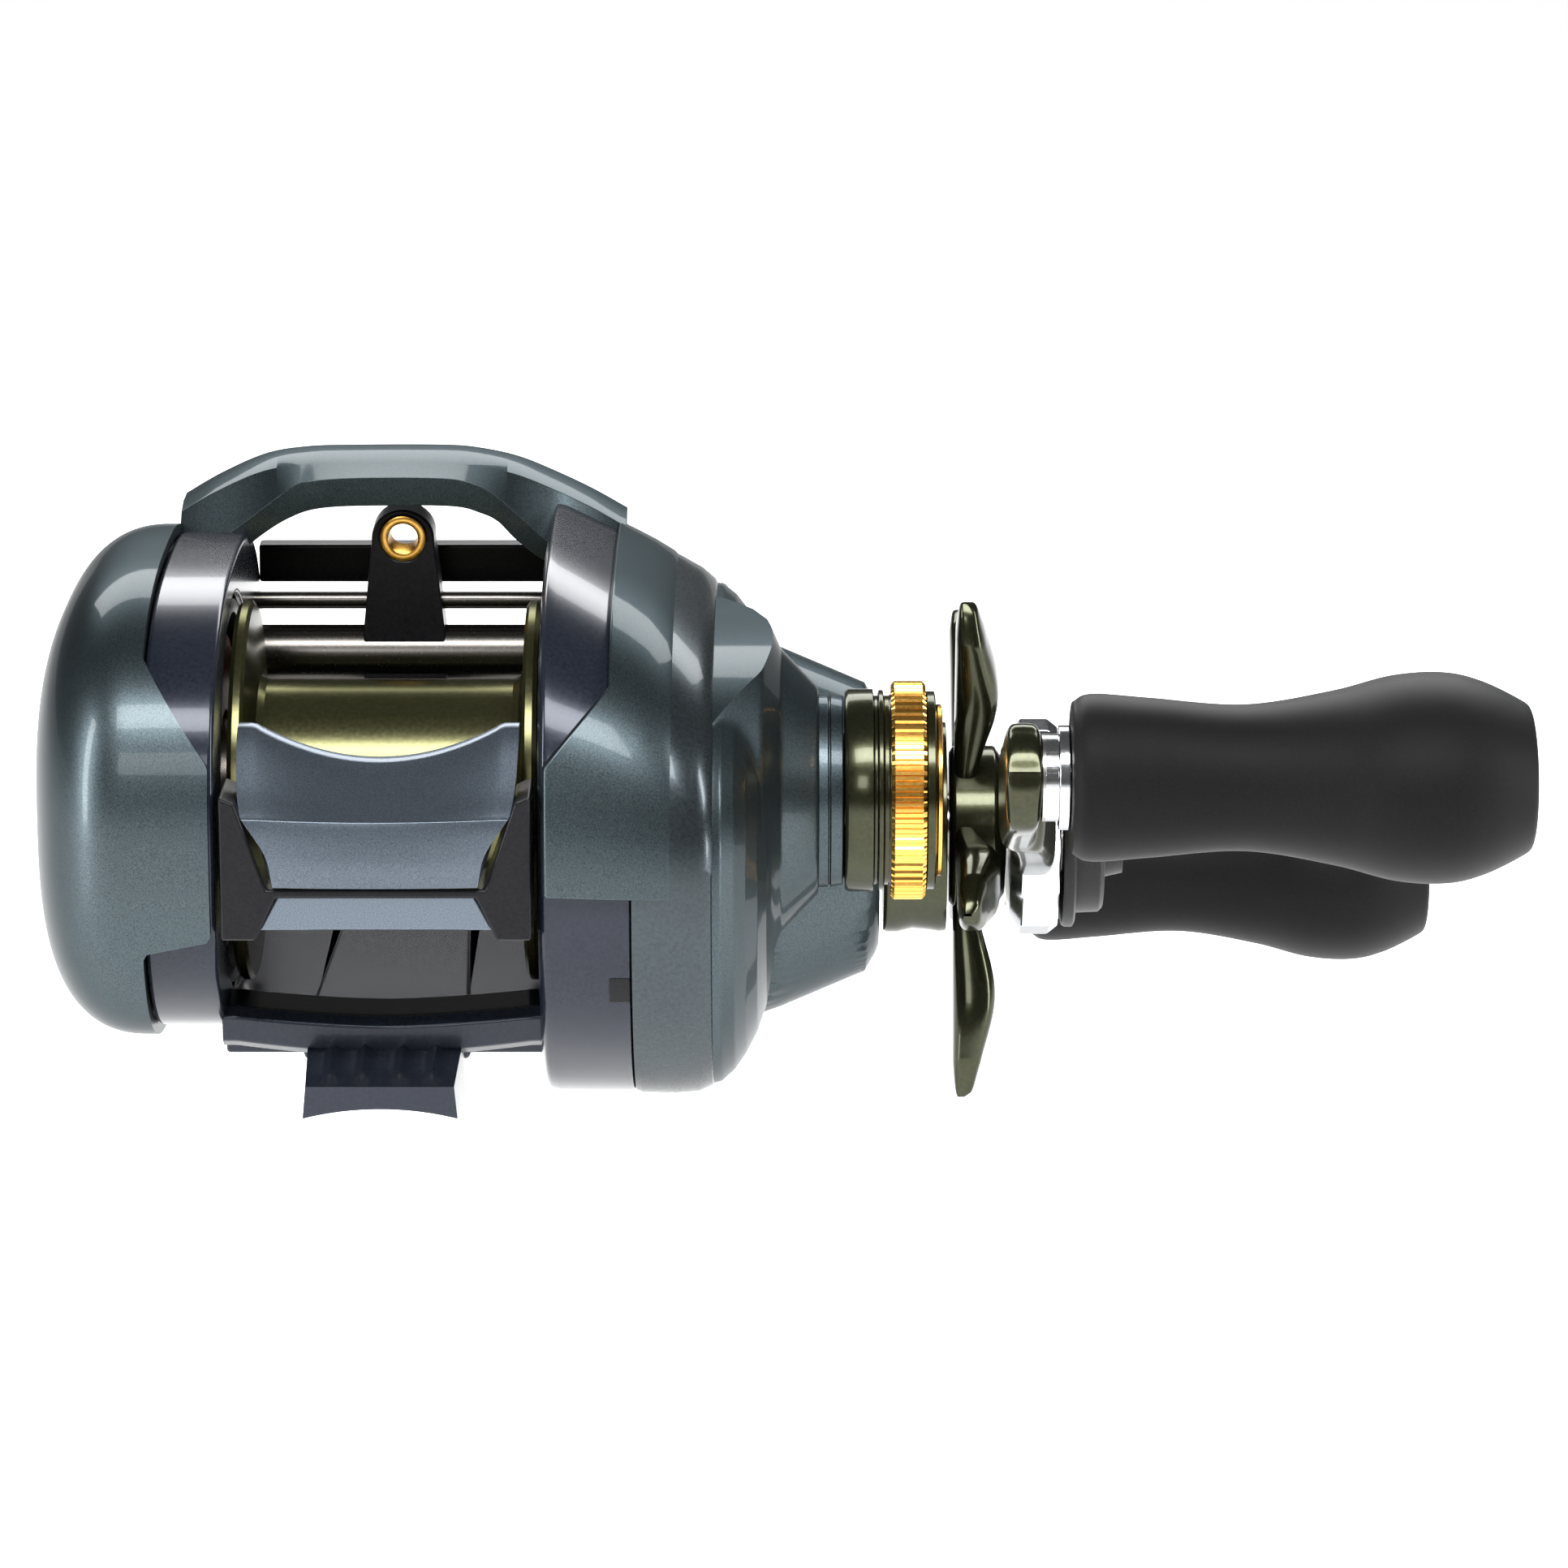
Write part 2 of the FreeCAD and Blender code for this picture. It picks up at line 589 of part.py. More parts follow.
half = spool_width / 2
node(turned("spool_body", [(-half, arbor_radius - arbor_wall), (-half, spool_radius),
                           (flange_rim - half, spool_radius), (flange_root - half, arbor_radius),
                           (half - flange_root, arbor_radius), (half - flange_rim, spool_radius),
                           (half, spool_radius), (half, spool_shaft_radius), (half - 2.0, spool_shaft_radius),
                           (half - 2.0, arbor_radius - arbor_wall)], spool_axis), "spool")
pin_x = gear_face + 4.1
pin_radius = 0.5
spindle = rod("spindle", spool_shaft_radius, back + 0.4, shaft_end, spool_axis)
pin_hole = rod("pin_hole", pin_radius, axis_height - 3, axis_height + 3, (pin_x, 0), "Z")
node(cut("spindle_drilled", spindle, [pin_hole]), "spool_shaft")
node(rod("pin", pin_radius, axis_height - 2.6, axis_height + 2.6, (pin_x, 0), "Z"), "spool_drive_pin")
node(ring("rotor", 6.5, spool_shaft_radius, back + 2.7, back + 6.0, spool_axis), "rotor_magnet")


# ---- clutch: pinion with its groove and slot, and the yoke that slides it ----

groove = (gear_face + 5.5, gear_face + 6.9)
drive_start = gear_face + 9.6
drive_end = drive_start + 3.6
teeth_start = gear_face + 7.5
teeth_end = teeth_start + 6.0
drive_phase = 0.0
pinion_phase = meshing_phase(main_centre, (0, axis_height.number), drive_teeth, pinion_teeth, drive_phase)
pinion_bore = spool_shaft_radius + 0.1
stub_radius = spool_shaft_radius + 0.45
pinion_teeth_part = feature("pinion_toothing", gear_shape(
    pinion_teeth, drive_module.number, pinion_bore.number, teeth_start.number, teeth_end.number,
    (0, axis_height.number), pinion_phase))
pinion_hub = turned("pinion_hub", [
    (gear_face + 3.5, pinion_bore), (gear_face + 3.5, 3.4), (groove[0], 3.4), (groove[0], 2.2), (groove[1], 2.2),
    (groove[1], 3.4), (teeth_start, 3.4), (teeth_start, pinion_bore)], spool_axis)
pinion_stub = ring("pinion_stub", stub_radius, pinion_bore, teeth_end, pinion_end, spool_axis)
pin_slot = block("pin_slot", (gear_face + 3.4, pin_x + pin_radius + 0.15), (-pin_radius - 0.15, pin_radius + 0.15),
                 (axis_height - 4, axis_height + 4))
node(cut("pinion_solid", fuse("pinion_joined", [pinion_hub, pinion_teeth_part, pinion_stub]), [pin_slot]),
     "pinion_gear")

yoke_outline = [(-8.5, 9.5), (-8.5, 4.5), (-4.2, 0), (-4.2, -3.5), (4.2, -3.5), (4.2, 2.0), (9.5, 7.0),
                (9.5, 12.0), (4.5, 12.0), (0.0, 6.0), (-4.0, 9.5)]
yoke_blank = prism("yoke_blank", yoke_outline, "X", groove[0] + 0.1, groove[1] - 0.1)
yoke_cuts = [rod("yoke_eye", 2.35, groove[0] - 1, groove[1] + 1, spool_axis),
             block("yoke_mouth", (groove[0] - 1, groove[1] + 1), (-2.35, 2.35), (axis_height - 5, axis_height))]
yoke_cuts += [rod("yoke_hole_%d" % count, yoke_post_radius + slide_fit, groove[0] - 1, groove[1] + 1, spot)
              for count, spot in enumerate(yoke_places)]
node(cut("yoke_solid", yoke_blank, yoke_cuts), "clutch_yoke")


# ---- thumb bar ----

base_block = block("thumb_base_block", (-thumb_half_width, thumb_half_width), (-26.5, -19.0),
                   (axis_height - 6.4, axis_height - 1.5))
base_tabs = block("thumb_tabs", (-inner_face - 2.9, inner_face + 2.5), tab_y,
                  (axis_height + tab_height[0], axis_height + tab_height[1]))
node(fuse("thumb_base_solid", [base_block, base_tabs]), "thumb_bar_base")
pad_outline = [(-19.0, -1.5), (-18.6, 5.0), (-18.6, 9.8), (-19.6, 10.4), (-26.0, 4.5), (-27.2, -1.5)]
node(prism("pad", pad_outline, "X", 1.2 - thumb_half_width, thumb_half_width - 1.2), "thumb_pad")


# ---- main shaft, drive gear, drag stack and sleeve ----

sleeve_radius = main_shaft_radius + 1.0
bell_start = bulge_end + turning_gap
bell_end = bell_start + 5.9
arm_face = bell_end + 5.75
nut_face = arm_face + 4.8
node(turned("main_shaft_body", [
    (bearing_start + 0.2, 0), (bearing_start + 0.2, main_shaft_radius), (drive_start - 1.2, main_shaft_radius),
    (drive_start - 1.2, 8.0), (drive_start, 8.0), (drive_start, main_shaft_radius),
    (nut_face, main_shaft_radius), (nut_face, 2.4), (nut_face + 2.9, 2.4), (nut_face + 2.9, 0)], main_axis),
     "main_shaft")
gear_blank = feature("drive_gear_blank", gear_shape(
    drive_teeth, drive_module.number, main_shaft_radius.number, drive_start.number, drive_end.number,
    main_centre, drive_phase))
drag_recess = ring("drag_recess", 12.5, main_shaft_radius, drive_start + 1.4, drive_end + 1, main_axis)
node(cut("drive_gear_solid", gear_blank, [drag_recess]), "drive_gear")
washer_start = drive_start + 1.4
for label, outer in (("drag_washer_inner", 12.0), ("drag_washer_metal", 11.6), ("drag_washer_outer", 12.0)):
    node(ring(label + "_ring", outer, main_shaft_radius, washer_start, washer_start + 0.8, main_axis), label)
    washer_start = washer_start + 0.8
node(ring("pressure", 11.0, main_shaft_radius, washer_start, washer_start + 1.4, main_axis), "drag_pressure_plate")
node(turned("sleeve", [
    (washer_start + 1.4, main_shaft_radius), (washer_start + 1.4, sleeve_radius), (bell_start, sleeve_radius),
    (bell_start, bell_radius), (bell_end, bell_radius), (bell_end, main_shaft_radius)], main_axis), "shaft_sleeve")
node(feature("train_main", gear_shape(
    TRAIN_TEETH[0], train_module.number, main_shaft_radius.number, train_start.number, train_end.number,
    main_centre, train_phases[0])), "level_wind_drive_gear")
node(feature("train_idler", gear_shape(
    TRAIN_TEETH[1], train_module.number, post_radius + post_gap, train_start.number, train_end.number,
    idler_centre, train_phases[1])), "idle_gear")


# ---- star drag wheel ----

star_start = bell_end + 0.2
blade_start = star_start + 0.3
blade_end = blade_start + 3.8
star_turn = -105.0
tip_radius = 3.0
tip_reach = star_radius - tip_radius
star_parts = [rod("star_hub", 7.5, star_start, arm_face - 0.2, main_axis)]
for blade in range(star_blades):
    angle = star_turn + blade * 360 / star_blades
    star_parts.append(radial("star_blade_%d" % blade, (blade_start, blade_end), (5.0, tip_reach),
                             2 * tip_radius, angle))
    tip_y = main_y.number + math.cos(math.radians(angle)) * tip_reach.number
    tip_z = main_z.number + math.sin(math.radians(angle)) * tip_reach.number
    star_parts.append(rod("star_tip_%d" % blade, tip_radius, blade_start, blade_end, (tip_y, tip_z)))
star_bore = rod("star_bore", main_shaft_radius + knob_fit, star_start - 1, arm_face + 1, main_axis)
node(cut("star_solid", fuse("star_joined", star_parts), [star_bore]), "star_drag")


# ---- handle: cranked arm, nut, retainer, screw and the two knobs ----

arm_end_x = arm_face - 1.9
arm_parts = [turned("arm_hub", [(arm_face, 0), (arm_face, 10.0), (nut_face - 0.8, 10.0), (nut_face, 9.2),
                                (nut_face, 0)], main_axis)]
knob_places = {}
for label, angle in (("rear", handle_angle.number), ("front", handle_angle.number - 180)):
    arm_parts.append(radial("arm_inner_" + label, (arm_face, arm_face + arm_thick), (5, 31), arm_width, angle))
    arm_parts.append(radial("arm_outer_" + label, (arm_end_x, arm_end_x + arm_thick), (star_radius + 1.3, crank),
                            arm_width, angle))
    spot = (main_y.number + math.cos(math.radians(angle)) * crank.number,
            main_z.number + math.sin(math.radians(angle)) * crank.number)
    knob_places[label] = spot
    arm_parts.append(rod("arm_tip_" + label, arm_width / 2, arm_end_x, arm_end_x + arm_thick, spot))
arm_bore = rod("arm_bore", main_shaft_radius, arm_face - 5, nut_face + 1, main_axis)
node(cut("arm_solid", fuse("arm_joined", arm_parts), [arm_bore]), "handle_arm")

hexagon = []
for side in range(6):
    angle = math.radians(60 * side)
    hexagon.append((main_y + 4.2 * math.cos(angle), 4.2 * math.sin(angle) - main_drop))
nut_blank = prism("nut_blank", hexagon, "X", nut_face, nut_face + 2.6)
node(cut("nut_solid", nut_blank, [rod("nut_bore", 2.4, nut_face - 1, nut_face + 4, main_axis)]), "handle_nut")
retainer_end = nut_face + 3.95
node(turned("retainer", [(nut_face, 4.9), (nut_face, 9.3), (nut_face + 1.3, 9.3), (nut_face + 1.3, 8.0),
                         (retainer_end, 8.0), (retainer_end, 1.0), (nut_face + 2.9, 1.0), (nut_face + 2.9, 4.9)],
            main_axis), "nut_retainer")
node(turned("screw", [(nut_face + 2.9, 0), (nut_face + 2.9, 1.0), (retainer_end, 1.0), (retainer_end, 4.7),
                      (retainer_end + 1.8, 4.3), (retainer_end + 1.8, 0)], main_axis), "retainer_screw")

shaft_face = arm_end_x + arm_thick
knob_start = shaft_face + 2.45
knob_end = knob_start + knob_length
knob_stations = [(0, 7.1), (0.37, 6.25), (0.8, 8.9), (0.94, 8.1), (1, 6.6)]
for label, spot in knob_places.items():
    node(turned("knob_shaft_body_" + label, [
        (shaft_face, 0), (shaft_face, 3.75), (shaft_face + 1.4, 3.75), (shaft_face + 1.4, knob_shaft_radius),
        (knob_end - 3.5, knob_shaft_radius), (knob_end - 3.5, 0)], spot), "knob_shaft_" + label)
    wide = turned("knob_wide_" + label, [(knob_start, 0)]
                  + [(knob_start + knob_length * share, radius * 1.25) for share, radius in knob_stations]
                  + [(knob_end, 0)], spot)
    lower = [(knob_start + knob_length * share, spot[1] - axis_height - radius) for share, radius in knob_stations]
    upper = [(knob_start + knob_length * share, spot[1] - axis_height + radius) for share, radius in knob_stations]
    flat = prism("knob_flat_" + label, lower + upper[::-1], "Y", spot[0] - 14, spot[0] + 14)
    grip = overlap("knob_grip_" + label, [wide, flat])
    hole = rod("knob_hole_" + label, knob_shaft_radius + knob_fit, knob_start - 1, knob_end - 1.6, spot)
    socket = rod("knob_socket_" + label, 4.5, knob_end - 1.6, knob_end + 1, spot)
    node(cut("knob_solid_" + label, grip, [hole, socket]), "knob_" + label)
    node(rod("knob_cap_disc_" + label, 4.5, knob_end - 1.6, knob_end - 0.3, spot), "knob_cap_" + label)


# ---- cast control cap on the spool axis ----

cap_bore = neck_radius + thread_fit
ring_start = cap_start + 4.1
grip_seat_share = 0.2564
grip_seat = cap_radius - (cap_radius - cap_bore) * grip_seat_share
grip_end = ring_start + 3.1
cap_end = ring_start + 4.0
node(turned("cap_body", [
    (cap_start, cap_bore), (cap_start, cap_radius), (cap_start + 2.5, cap_radius), (cap_start + 2.5, grip_seat),
    (grip_end, grip_seat), (grip_end, cap_radius - 0.2), (cap_end, cap_radius - 0.2), (cap_end, 0),
    (boss_end + 6.0, 0), (boss_end + 6.0, cap_bore)], spool_axis), "cast_control_cap")
node(ring("cap_grip", grip_radius, grip_seat, ring_start, grip_end, spool_axis), "cast_control_ring")
node(rod("cap_disc", cap_radius - 1.35, cap_end, cap_end + 0.6, spool_axis), "cast_control_disc")


# ---- level wind: line guide, eye, pawl, worm ----

guide_half = guide_width / 2
guide_body = block("guide_body", (-guide_half, guide_half), (guide_y - 3.2, guide_y + 3.2),
                   (axis_height + worm_lift - 3.7, axis_height + bar_lift + 2.2))
guide_neck = block("guide_neck", (-2.4, 2.4), (guide_y - 1.8, guide_y + 1.8),
                   (axis_height + bar_lift + 1, axis_height + eye_lift))
guide_head = rod("guide_head", eye_bore + eye_wall + 0.6, guide_y - 1.8, guide_y + 1.8, (0, axis_height + eye_lift),
                 "Y")
guide_cuts = [
    rod("guide_tube_hole", tube_bore + tube_wall + slide_fit, -guide_half - 1, guide_half + 1, worm_axis),
    rod("guide_bar_hole", bar_radius + slide_fit, -guide_half - 1, guide_half + 1, bar_axis),
    rod("guide_eye_seat", eye_bore + eye_wall, guide_y - 3, guide_y + 3, (0, axis_height + eye_lift), "Y"),
    rod("guide_pawl_hole", 0.55, axis_height + worm_lift - 5, axis_height + worm_lift - 2, (0, guide_y), "Z"),
]
node(cut("guide_solid", fuse("guide_joined", [guide_body, guide_neck, guide_head]), guide_cuts), "line_guide")
eye_outer = rod("eye_outer", eye_bore + eye_wall, guide_y - 2.1, guide_y + 2.1, (0, axis_height + eye_lift), "Y")
eye_hole = rod("eye_hole", eye_bore, guide_y - 3, guide_y + 3, (0, axis_height + eye_lift), "Y")
node(cut("eye_solid", eye_outer, [eye_hole]), "line_eye")
node(rod("pawl_pin", 0.55, axis_height + worm_lift - 3.7, axis_height + worm_lift - worm_radius - 0.2,
         (0, guide_y), "Z"), "pawl")
node(turned("worm_body", [
    (-inner_face - 1.9, 0), (-inner_face - 1.9, worm_journal), (0.3 - inner_face, worm_journal),
    (0.3 - inner_face, worm_radius), (inner_face - 0.3, worm_radius), (inner_face - 0.3, worm_journal),
    (train_end, worm_journal), (train_end, 0)], worm_axis), "worm_shaft")
node(feature("train_worm", gear_shape(
    TRAIN_TEETH[2], train_module.number, worm_journal.number, train_start.number, train_end.number,
    worm_centre, train_phases[2])), "worm_gear")


# ---- screws of the handle side plate ----

for count, spot in enumerate(screw_places):
    node(turned("screw_body_%d" % count, [
        (gear_face + 2, 0), (gear_face + 2, screw_radius), (cover_face, screw_radius), (cover_face, screw_head),
        (cover_face + 0.7, 1.5), (cover_face + 0.7, 0)], spot), "side_screw_%d" % (count + 1))


# ---- check every object and write one file for each sub-part ----

doc.recompute()
for item in doc.Objects:
    if "Invalid" in item.State or "Error" in item.State:
        raise RuntimeError("%s failed: %s" % (item.Name, item.State))
for item in nodes:
    if item.Shape.isNull() or not item.Shape.isValid() or len(item.Shape.Solids) != 1:
        raise RuntimeError("%s is not one valid solid (%d)" % (item.Label, len(item.Shape.Solids)))
os.makedirs("parts", exist_ok=True)
for item in nodes:
    item.Shape.exportStep(os.path.join("parts", item.Label + ".step"))
print("%d sub-parts written" % len(nodes))
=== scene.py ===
import json
import math

import bmesh
import bpy
import numpy as np
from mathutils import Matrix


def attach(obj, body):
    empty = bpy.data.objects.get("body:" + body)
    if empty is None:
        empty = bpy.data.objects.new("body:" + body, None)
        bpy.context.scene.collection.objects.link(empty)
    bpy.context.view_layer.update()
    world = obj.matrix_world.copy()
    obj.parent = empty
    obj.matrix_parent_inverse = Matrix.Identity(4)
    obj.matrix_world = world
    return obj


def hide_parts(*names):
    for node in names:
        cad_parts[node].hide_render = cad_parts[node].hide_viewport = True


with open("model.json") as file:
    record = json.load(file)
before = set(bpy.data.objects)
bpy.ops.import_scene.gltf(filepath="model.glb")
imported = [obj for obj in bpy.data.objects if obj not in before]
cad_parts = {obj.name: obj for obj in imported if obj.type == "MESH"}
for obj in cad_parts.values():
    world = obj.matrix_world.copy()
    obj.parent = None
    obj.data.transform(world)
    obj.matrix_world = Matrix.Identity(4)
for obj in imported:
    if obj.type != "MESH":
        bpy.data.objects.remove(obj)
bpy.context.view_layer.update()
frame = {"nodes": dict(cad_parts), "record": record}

# Studio: a white floor that glows a little under the reel, a dim surround, a soft key light above and
# behind the camera, and a long strip on each side for the highlights along the painted plates.
MM = 0.001
LOOK_DOWN = 15.0
FLOOR = -0.046
hinges = {joint["name"]: joint for joint in frame["record"]["behaviour"]["joints"]}
AXIS = hinges["spool_spin"]["pos_m"][2] / MM
MAIN = tuple(value / MM for value in hinges["handle_spin"]["pos_m"][1:])

scene = bpy.context.scene
world = bpy.data.worlds.new("surround")
scene.world = world
world.use_nodes = True
world.node_tree.nodes["Background"].inputs["Color"].default_value = (1.0, 1.0, 1.0, 1)
world.node_tree.nodes["Background"].inputs["Strength"].default_value = 0.10
scene.view_settings.view_transform = "Standard"

camera_data = bpy.data.cameras.new("camera")
camera_data.lens = 153.0
camera_data.sensor_width = 36.0
camera = bpy.data.objects.new("camera", camera_data)
camera.location = (0.03515, -0.5775, 0.1783)
camera.rotation_euler = (math.radians(90 - LOOK_DOWN), 0, 0)
scene.collection.objects.link(camera)
scene.camera = camera


def soft_box(name, place, aim, size, power):
    """A rectangular area light at a place, turned so that it faces a point."""
    data = bpy.data.lights.new(name, "AREA")
    data.shape = "RECTANGLE"
    data.size, data.size_y = size
    data.energy = power
    lamp = bpy.data.objects.new(name, data)
    lamp.location = place
    toward = np.array(aim) - np.array(place)
    flat = math.hypot(toward[0], toward[1])
    lamp.rotation_euler = (math.atan2(flat, -toward[2]), 0, math.atan2(-toward[0], toward[1]))
    scene.collection.objects.link(lamp)


soft_box("key", (0.03, -0.30, 0.46), (0.03, 0, 0.02), (0.42, 0.16), 5.0)
soft_box("left_strip", (-0.42, -0.16, 0.12), (0, 0, 0.02), (0.07, 0.40), 2.6)
soft_box("right_strip", (0.50, -0.10, 0.16), (0.04, 0, 0.02), (0.07, 0.40), 2.4)
soft_box("rear_glow", (0.03, 0.45, 0.30), (0.03, 0, 0.02), (0.60, 0.16), 3.0)
soft_box("front_card", (-0.12, -0.62, 0.30), (0.0, 0, 0.02), (0.16, 0.16), 0.8)

floor_mesh = bpy.data.meshes.new("floor")
floor_mesh.from_pydata([(-3, -3, FLOOR), (3, -3, FLOOR), (3, 3, FLOOR), (-3, 3, FLOOR)], [], [(0, 1, 2, 3)])
floor = bpy.data.objects.new("floor", floor_mesh)
scene.collection.objects.link(floor)
floor_white = bpy.data.materials.new("floor_white")
floor_white.use_nodes = True
floor_white.node_tree.nodes["Principled BSDF"].inputs["Base Color"].default_value = (0.92, 0.92, 0.92, 1)
floor_white.node_tree.nodes["Principled BSDF"].inputs["Roughness"].default_value = 0.7
floor_white.node_tree.nodes["Principled BSDF"].inputs["Emission Color"].default_value = (1, 1, 1, 1)
floor_white.node_tree.nodes["Principled BSDF"].inputs["Emission Strength"].default_value = 0.80
floor_mesh.materials.append(floor_white)


# Palm side plate: a die-cast aluminium dome held against the frame, sprayed in a blue-grey paint with
# fine metal flake under clear lacquer. Its rear edge reaches further across than its upper edge.

def finish(name, colour, metallic, roughness, coat=0.0, grain=2500, spread=0.25, bump=0.02, shine=0.5):
    """A material whose colour drifts by the spread and whose roughness drifts by 15% with one fine
    noise, which also drives a slight bump."""
    made = bpy.data.materials.new(name)
    made.use_nodes = True
    tree = made.node_tree
    shader = tree.nodes["Principled BSDF"]
    shader.inputs["Metallic"].default_value = metallic
    shader.inputs["Coat Weight"].default_value = coat
    shader.inputs["Coat Roughness"].default_value = 0.06
    shader.inputs["Specular Tint"].default_value = (0.45, 0.45, 0.45, 1)
    shader.inputs["Specular IOR Level"].default_value = shine
    place = tree.nodes.new("ShaderNodeTexCoord")
    noise = tree.nodes.new("ShaderNodeTexNoise")
    noise.inputs["Scale"].default_value = grain
    noise.inputs["Detail"].default_value = 4
    ramp = tree.nodes.new("ShaderNodeValToRGB")
    ramp.color_ramp.elements[0].position = 0.3
    ramp.color_ramp.elements[1].position = 0.7
    ramp.color_ramp.elements[0].color = (*[c * (1 - spread) for c in colour], 1)
    ramp.color_ramp.elements[1].color = (*[min(c * (1 + spread), 1) for c in colour], 1)
    rough = tree.nodes.new("ShaderNodeMapRange")
    rough.inputs["To Min"].default_value = roughness * 0.85
    rough.inputs["To Max"].default_value = min(roughness * 1.15, 1)
    relief = tree.nodes.new("ShaderNodeBump")
    relief.inputs["Strength"].default_value = bump
    relief.inputs["Distance"].default_value = 0.00005
    join = tree.links.new
    join(place.outputs["Object"], noise.inputs["Vector"])
    join(noise.outputs["Fac"], ramp.inputs["Fac"])
    join(noise.outputs["Fac"], rough.inputs["Value"])
    join(noise.outputs["Fac"], relief.inputs["Height"])
    join(ramp.outputs["Color"], shader.inputs["Base Color"])
    join(rough.outputs["Result"], shader.inputs["Roughness"])
    join(relief.outputs["Normal"], shader.inputs["Normal"])
    return made


def piece(name, body, material, mesh, stands_for=(), bevel=0.0, crease=35):
    """Merge doubled points, turn faces outwards, shade smooth below the crease angle, fix the piece to its
    body, and hide the nodes it stands for."""
    work = bmesh.new()
    work.from_mesh(mesh)
    bmesh.ops.remove_doubles(work, verts=work.verts, dist=1e-7)
    bmesh.ops.dissolve_degenerate(work, edges=work.edges, dist=1e-8)
    bmesh.ops.recalc_face_normals(work, faces=work.faces)
    work.to_mesh(mesh)
    work.free()
    mesh.shade_smooth()
    mesh.set_sharp_from_angle(angle=math.radians(crease))
    mesh.materials.append(material)
    made = bpy.data.objects.new(name, mesh)
    scene.collection.objects.link(made)
    if bevel:
        rounding = made.modifiers.new("rounding", "BEVEL")
        rounding.width = bevel * MM
        rounding.segments = 3
        rounding.limit_method = "ANGLE"
        rounding.angle_limit = math.radians(crease)
        rounding.harden_normals = True
    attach(made, body)
    if stands_for:
        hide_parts(*stands_for)
    return made


def grid_mesh(name, points, wrap_across=False, wrap_along=False):
    """Quads between neighbouring points of a (rows, columns, 3) array in millimetres."""
    rows, columns = points.shape[:2]
    index = np.arange(rows * columns).reshape(rows, columns)
    if wrap_across:
        index = np.concatenate([index, index[:1]], 0)
    if wrap_along:
        index = np.concatenate([index, index[:, :1]], 1)
    faces = np.stack([index[:-1, :-1], index[1:, :-1], index[1:, 1:], index[:-1, 1:]], -1).reshape(-1, 4)
    mesh = bpy.data.meshes.new(name)
    mesh.from_pydata((points.reshape(-1, 3) * MM).tolist(), [], faces.tolist())
    return mesh


def rounded(angle, centre, half, power):
    """Superellipse: |y/a|^n + |z/b|^n = 1, at a polar parameter."""
    y = centre[0] + half[0] * np.sign(np.cos(angle)) * np.abs(np.cos(angle)) ** (2 / power)
    z = centre[1] + half[1] * np.sign(np.sin(angle)) * np.abs(np.sin(angle)) ** (2 / power)
    return y, z


PALM_CENTRE = (4.0, AXIS + 0.4)
PALM_HALF = (30.6, 21.0)
PALM_POWER = 2.7
paint = finish("blue_grey_paint", (0.044, 0.058, 0.064), 0.95, 0.38,
               coat=0.15, grain=9000, spread=0.4, bump=0.01)

around = np.linspace(0, 2 * math.pi, 240, endpoint=False)[None, :]
turn = np.linspace(0, math.pi / 2, 70)[:, None]
rim_y, rim_z = rounded(around, PALM_CENTRE, PALM_HALF, PALM_POWER)


def seam_step(up, y, low):
    """Lap of a side plate over the frame, 0 to 1: a ramp over the 8.1 mm below 17 mm up, times a
    smooth step that ends it at the low line, times one that ends it in front of y = -8 mm."""
    return np.clip((17.0 - up) / 8.1, 0, 1) / (1 + np.exp((low - up) / 0.2)) / (1 + np.exp((y + 8.0) / 1.0))


seam = -20.2 + 5.9 * seam_step(rim_z - AXIS, rim_y, -7.3)
shrink = np.cos(turn) ** 0.62
dome_x = -21.0 - 10.15 * np.sin(turn) ** 0.85
dome = np.stack([dome_x + 0 * rim_y, PALM_CENTRE[0] + (rim_y - PALM_CENTRE[0]) * shrink,
                 PALM_CENTRE[1] + (rim_z - PALM_CENTRE[1]) * shrink], -1)
edge = np.stack([seam, rim_y, rim_z], -1)
inner = np.stack([seam, PALM_CENTRE[0] + (rim_y - PALM_CENTRE[0]) * 0.95,
                  PALM_CENTRE[1] + (rim_z - PALM_CENTRE[1]) * 0.95], -1)
inside = np.stack([-28.0 + 0 * rim_y, PALM_CENTRE[0] + (rim_y - PALM_CENTRE[0]) * 0.66,
                   PALM_CENTRE[1] + (rim_z - PALM_CENTRE[1]) * 0.66], -1)
inside_middle = np.stack([-28.0 + 0 * rim_y, PALM_CENTRE[0] + 0 * rim_y, PALM_CENTRE[1] + 0 * rim_y], -1)
shell = np.concatenate([inside_middle, inside, inner, edge, dome], 0)
piece("palm_plate_shell", "palm_body", paint,
      grid_mesh("palm_plate_shell", shell, wrap_along=True), ["palm_side_plate"], crease=32)


# Frame: machined and dyed dark navy. The palm ring has the large bore that the spool lifts out of, the
# gear block closes the other side, and a gull-wing bar carries the foot between them.
navy = finish("dark_navy", (0.012, 0.015, 0.023), 0.4, 0.24, coat=0.15, grain=3000, spread=0.2)


def ring_between(name, x, bore, centre, half, power, hole=(0.0, AXIS)):
    """A plate between two x planes, from a round bore out to a superellipse outline."""
    out_y, out_z = rounded(around, centre, half, power)
    toward = np.arctan2(out_z - hole[1], out_y - hole[0])
    in_y = hole[0] + bore * np.cos(toward)
    in_z = hole[1] + bore * np.sin(toward)
    loop = [(x[0], in_y, in_z), (x[0], out_y, out_z), (x[1], out_y, out_z), (x[1], in_y, in_z)]
    points = np.stack([np.stack([at + 0 * y, y, z], -1)[0] for at, y, z in loop], 0)
    return grid_mesh(name, points, wrap_across=True, wrap_along=True)


GEAR_CENTRE = (5.75, -4.0)


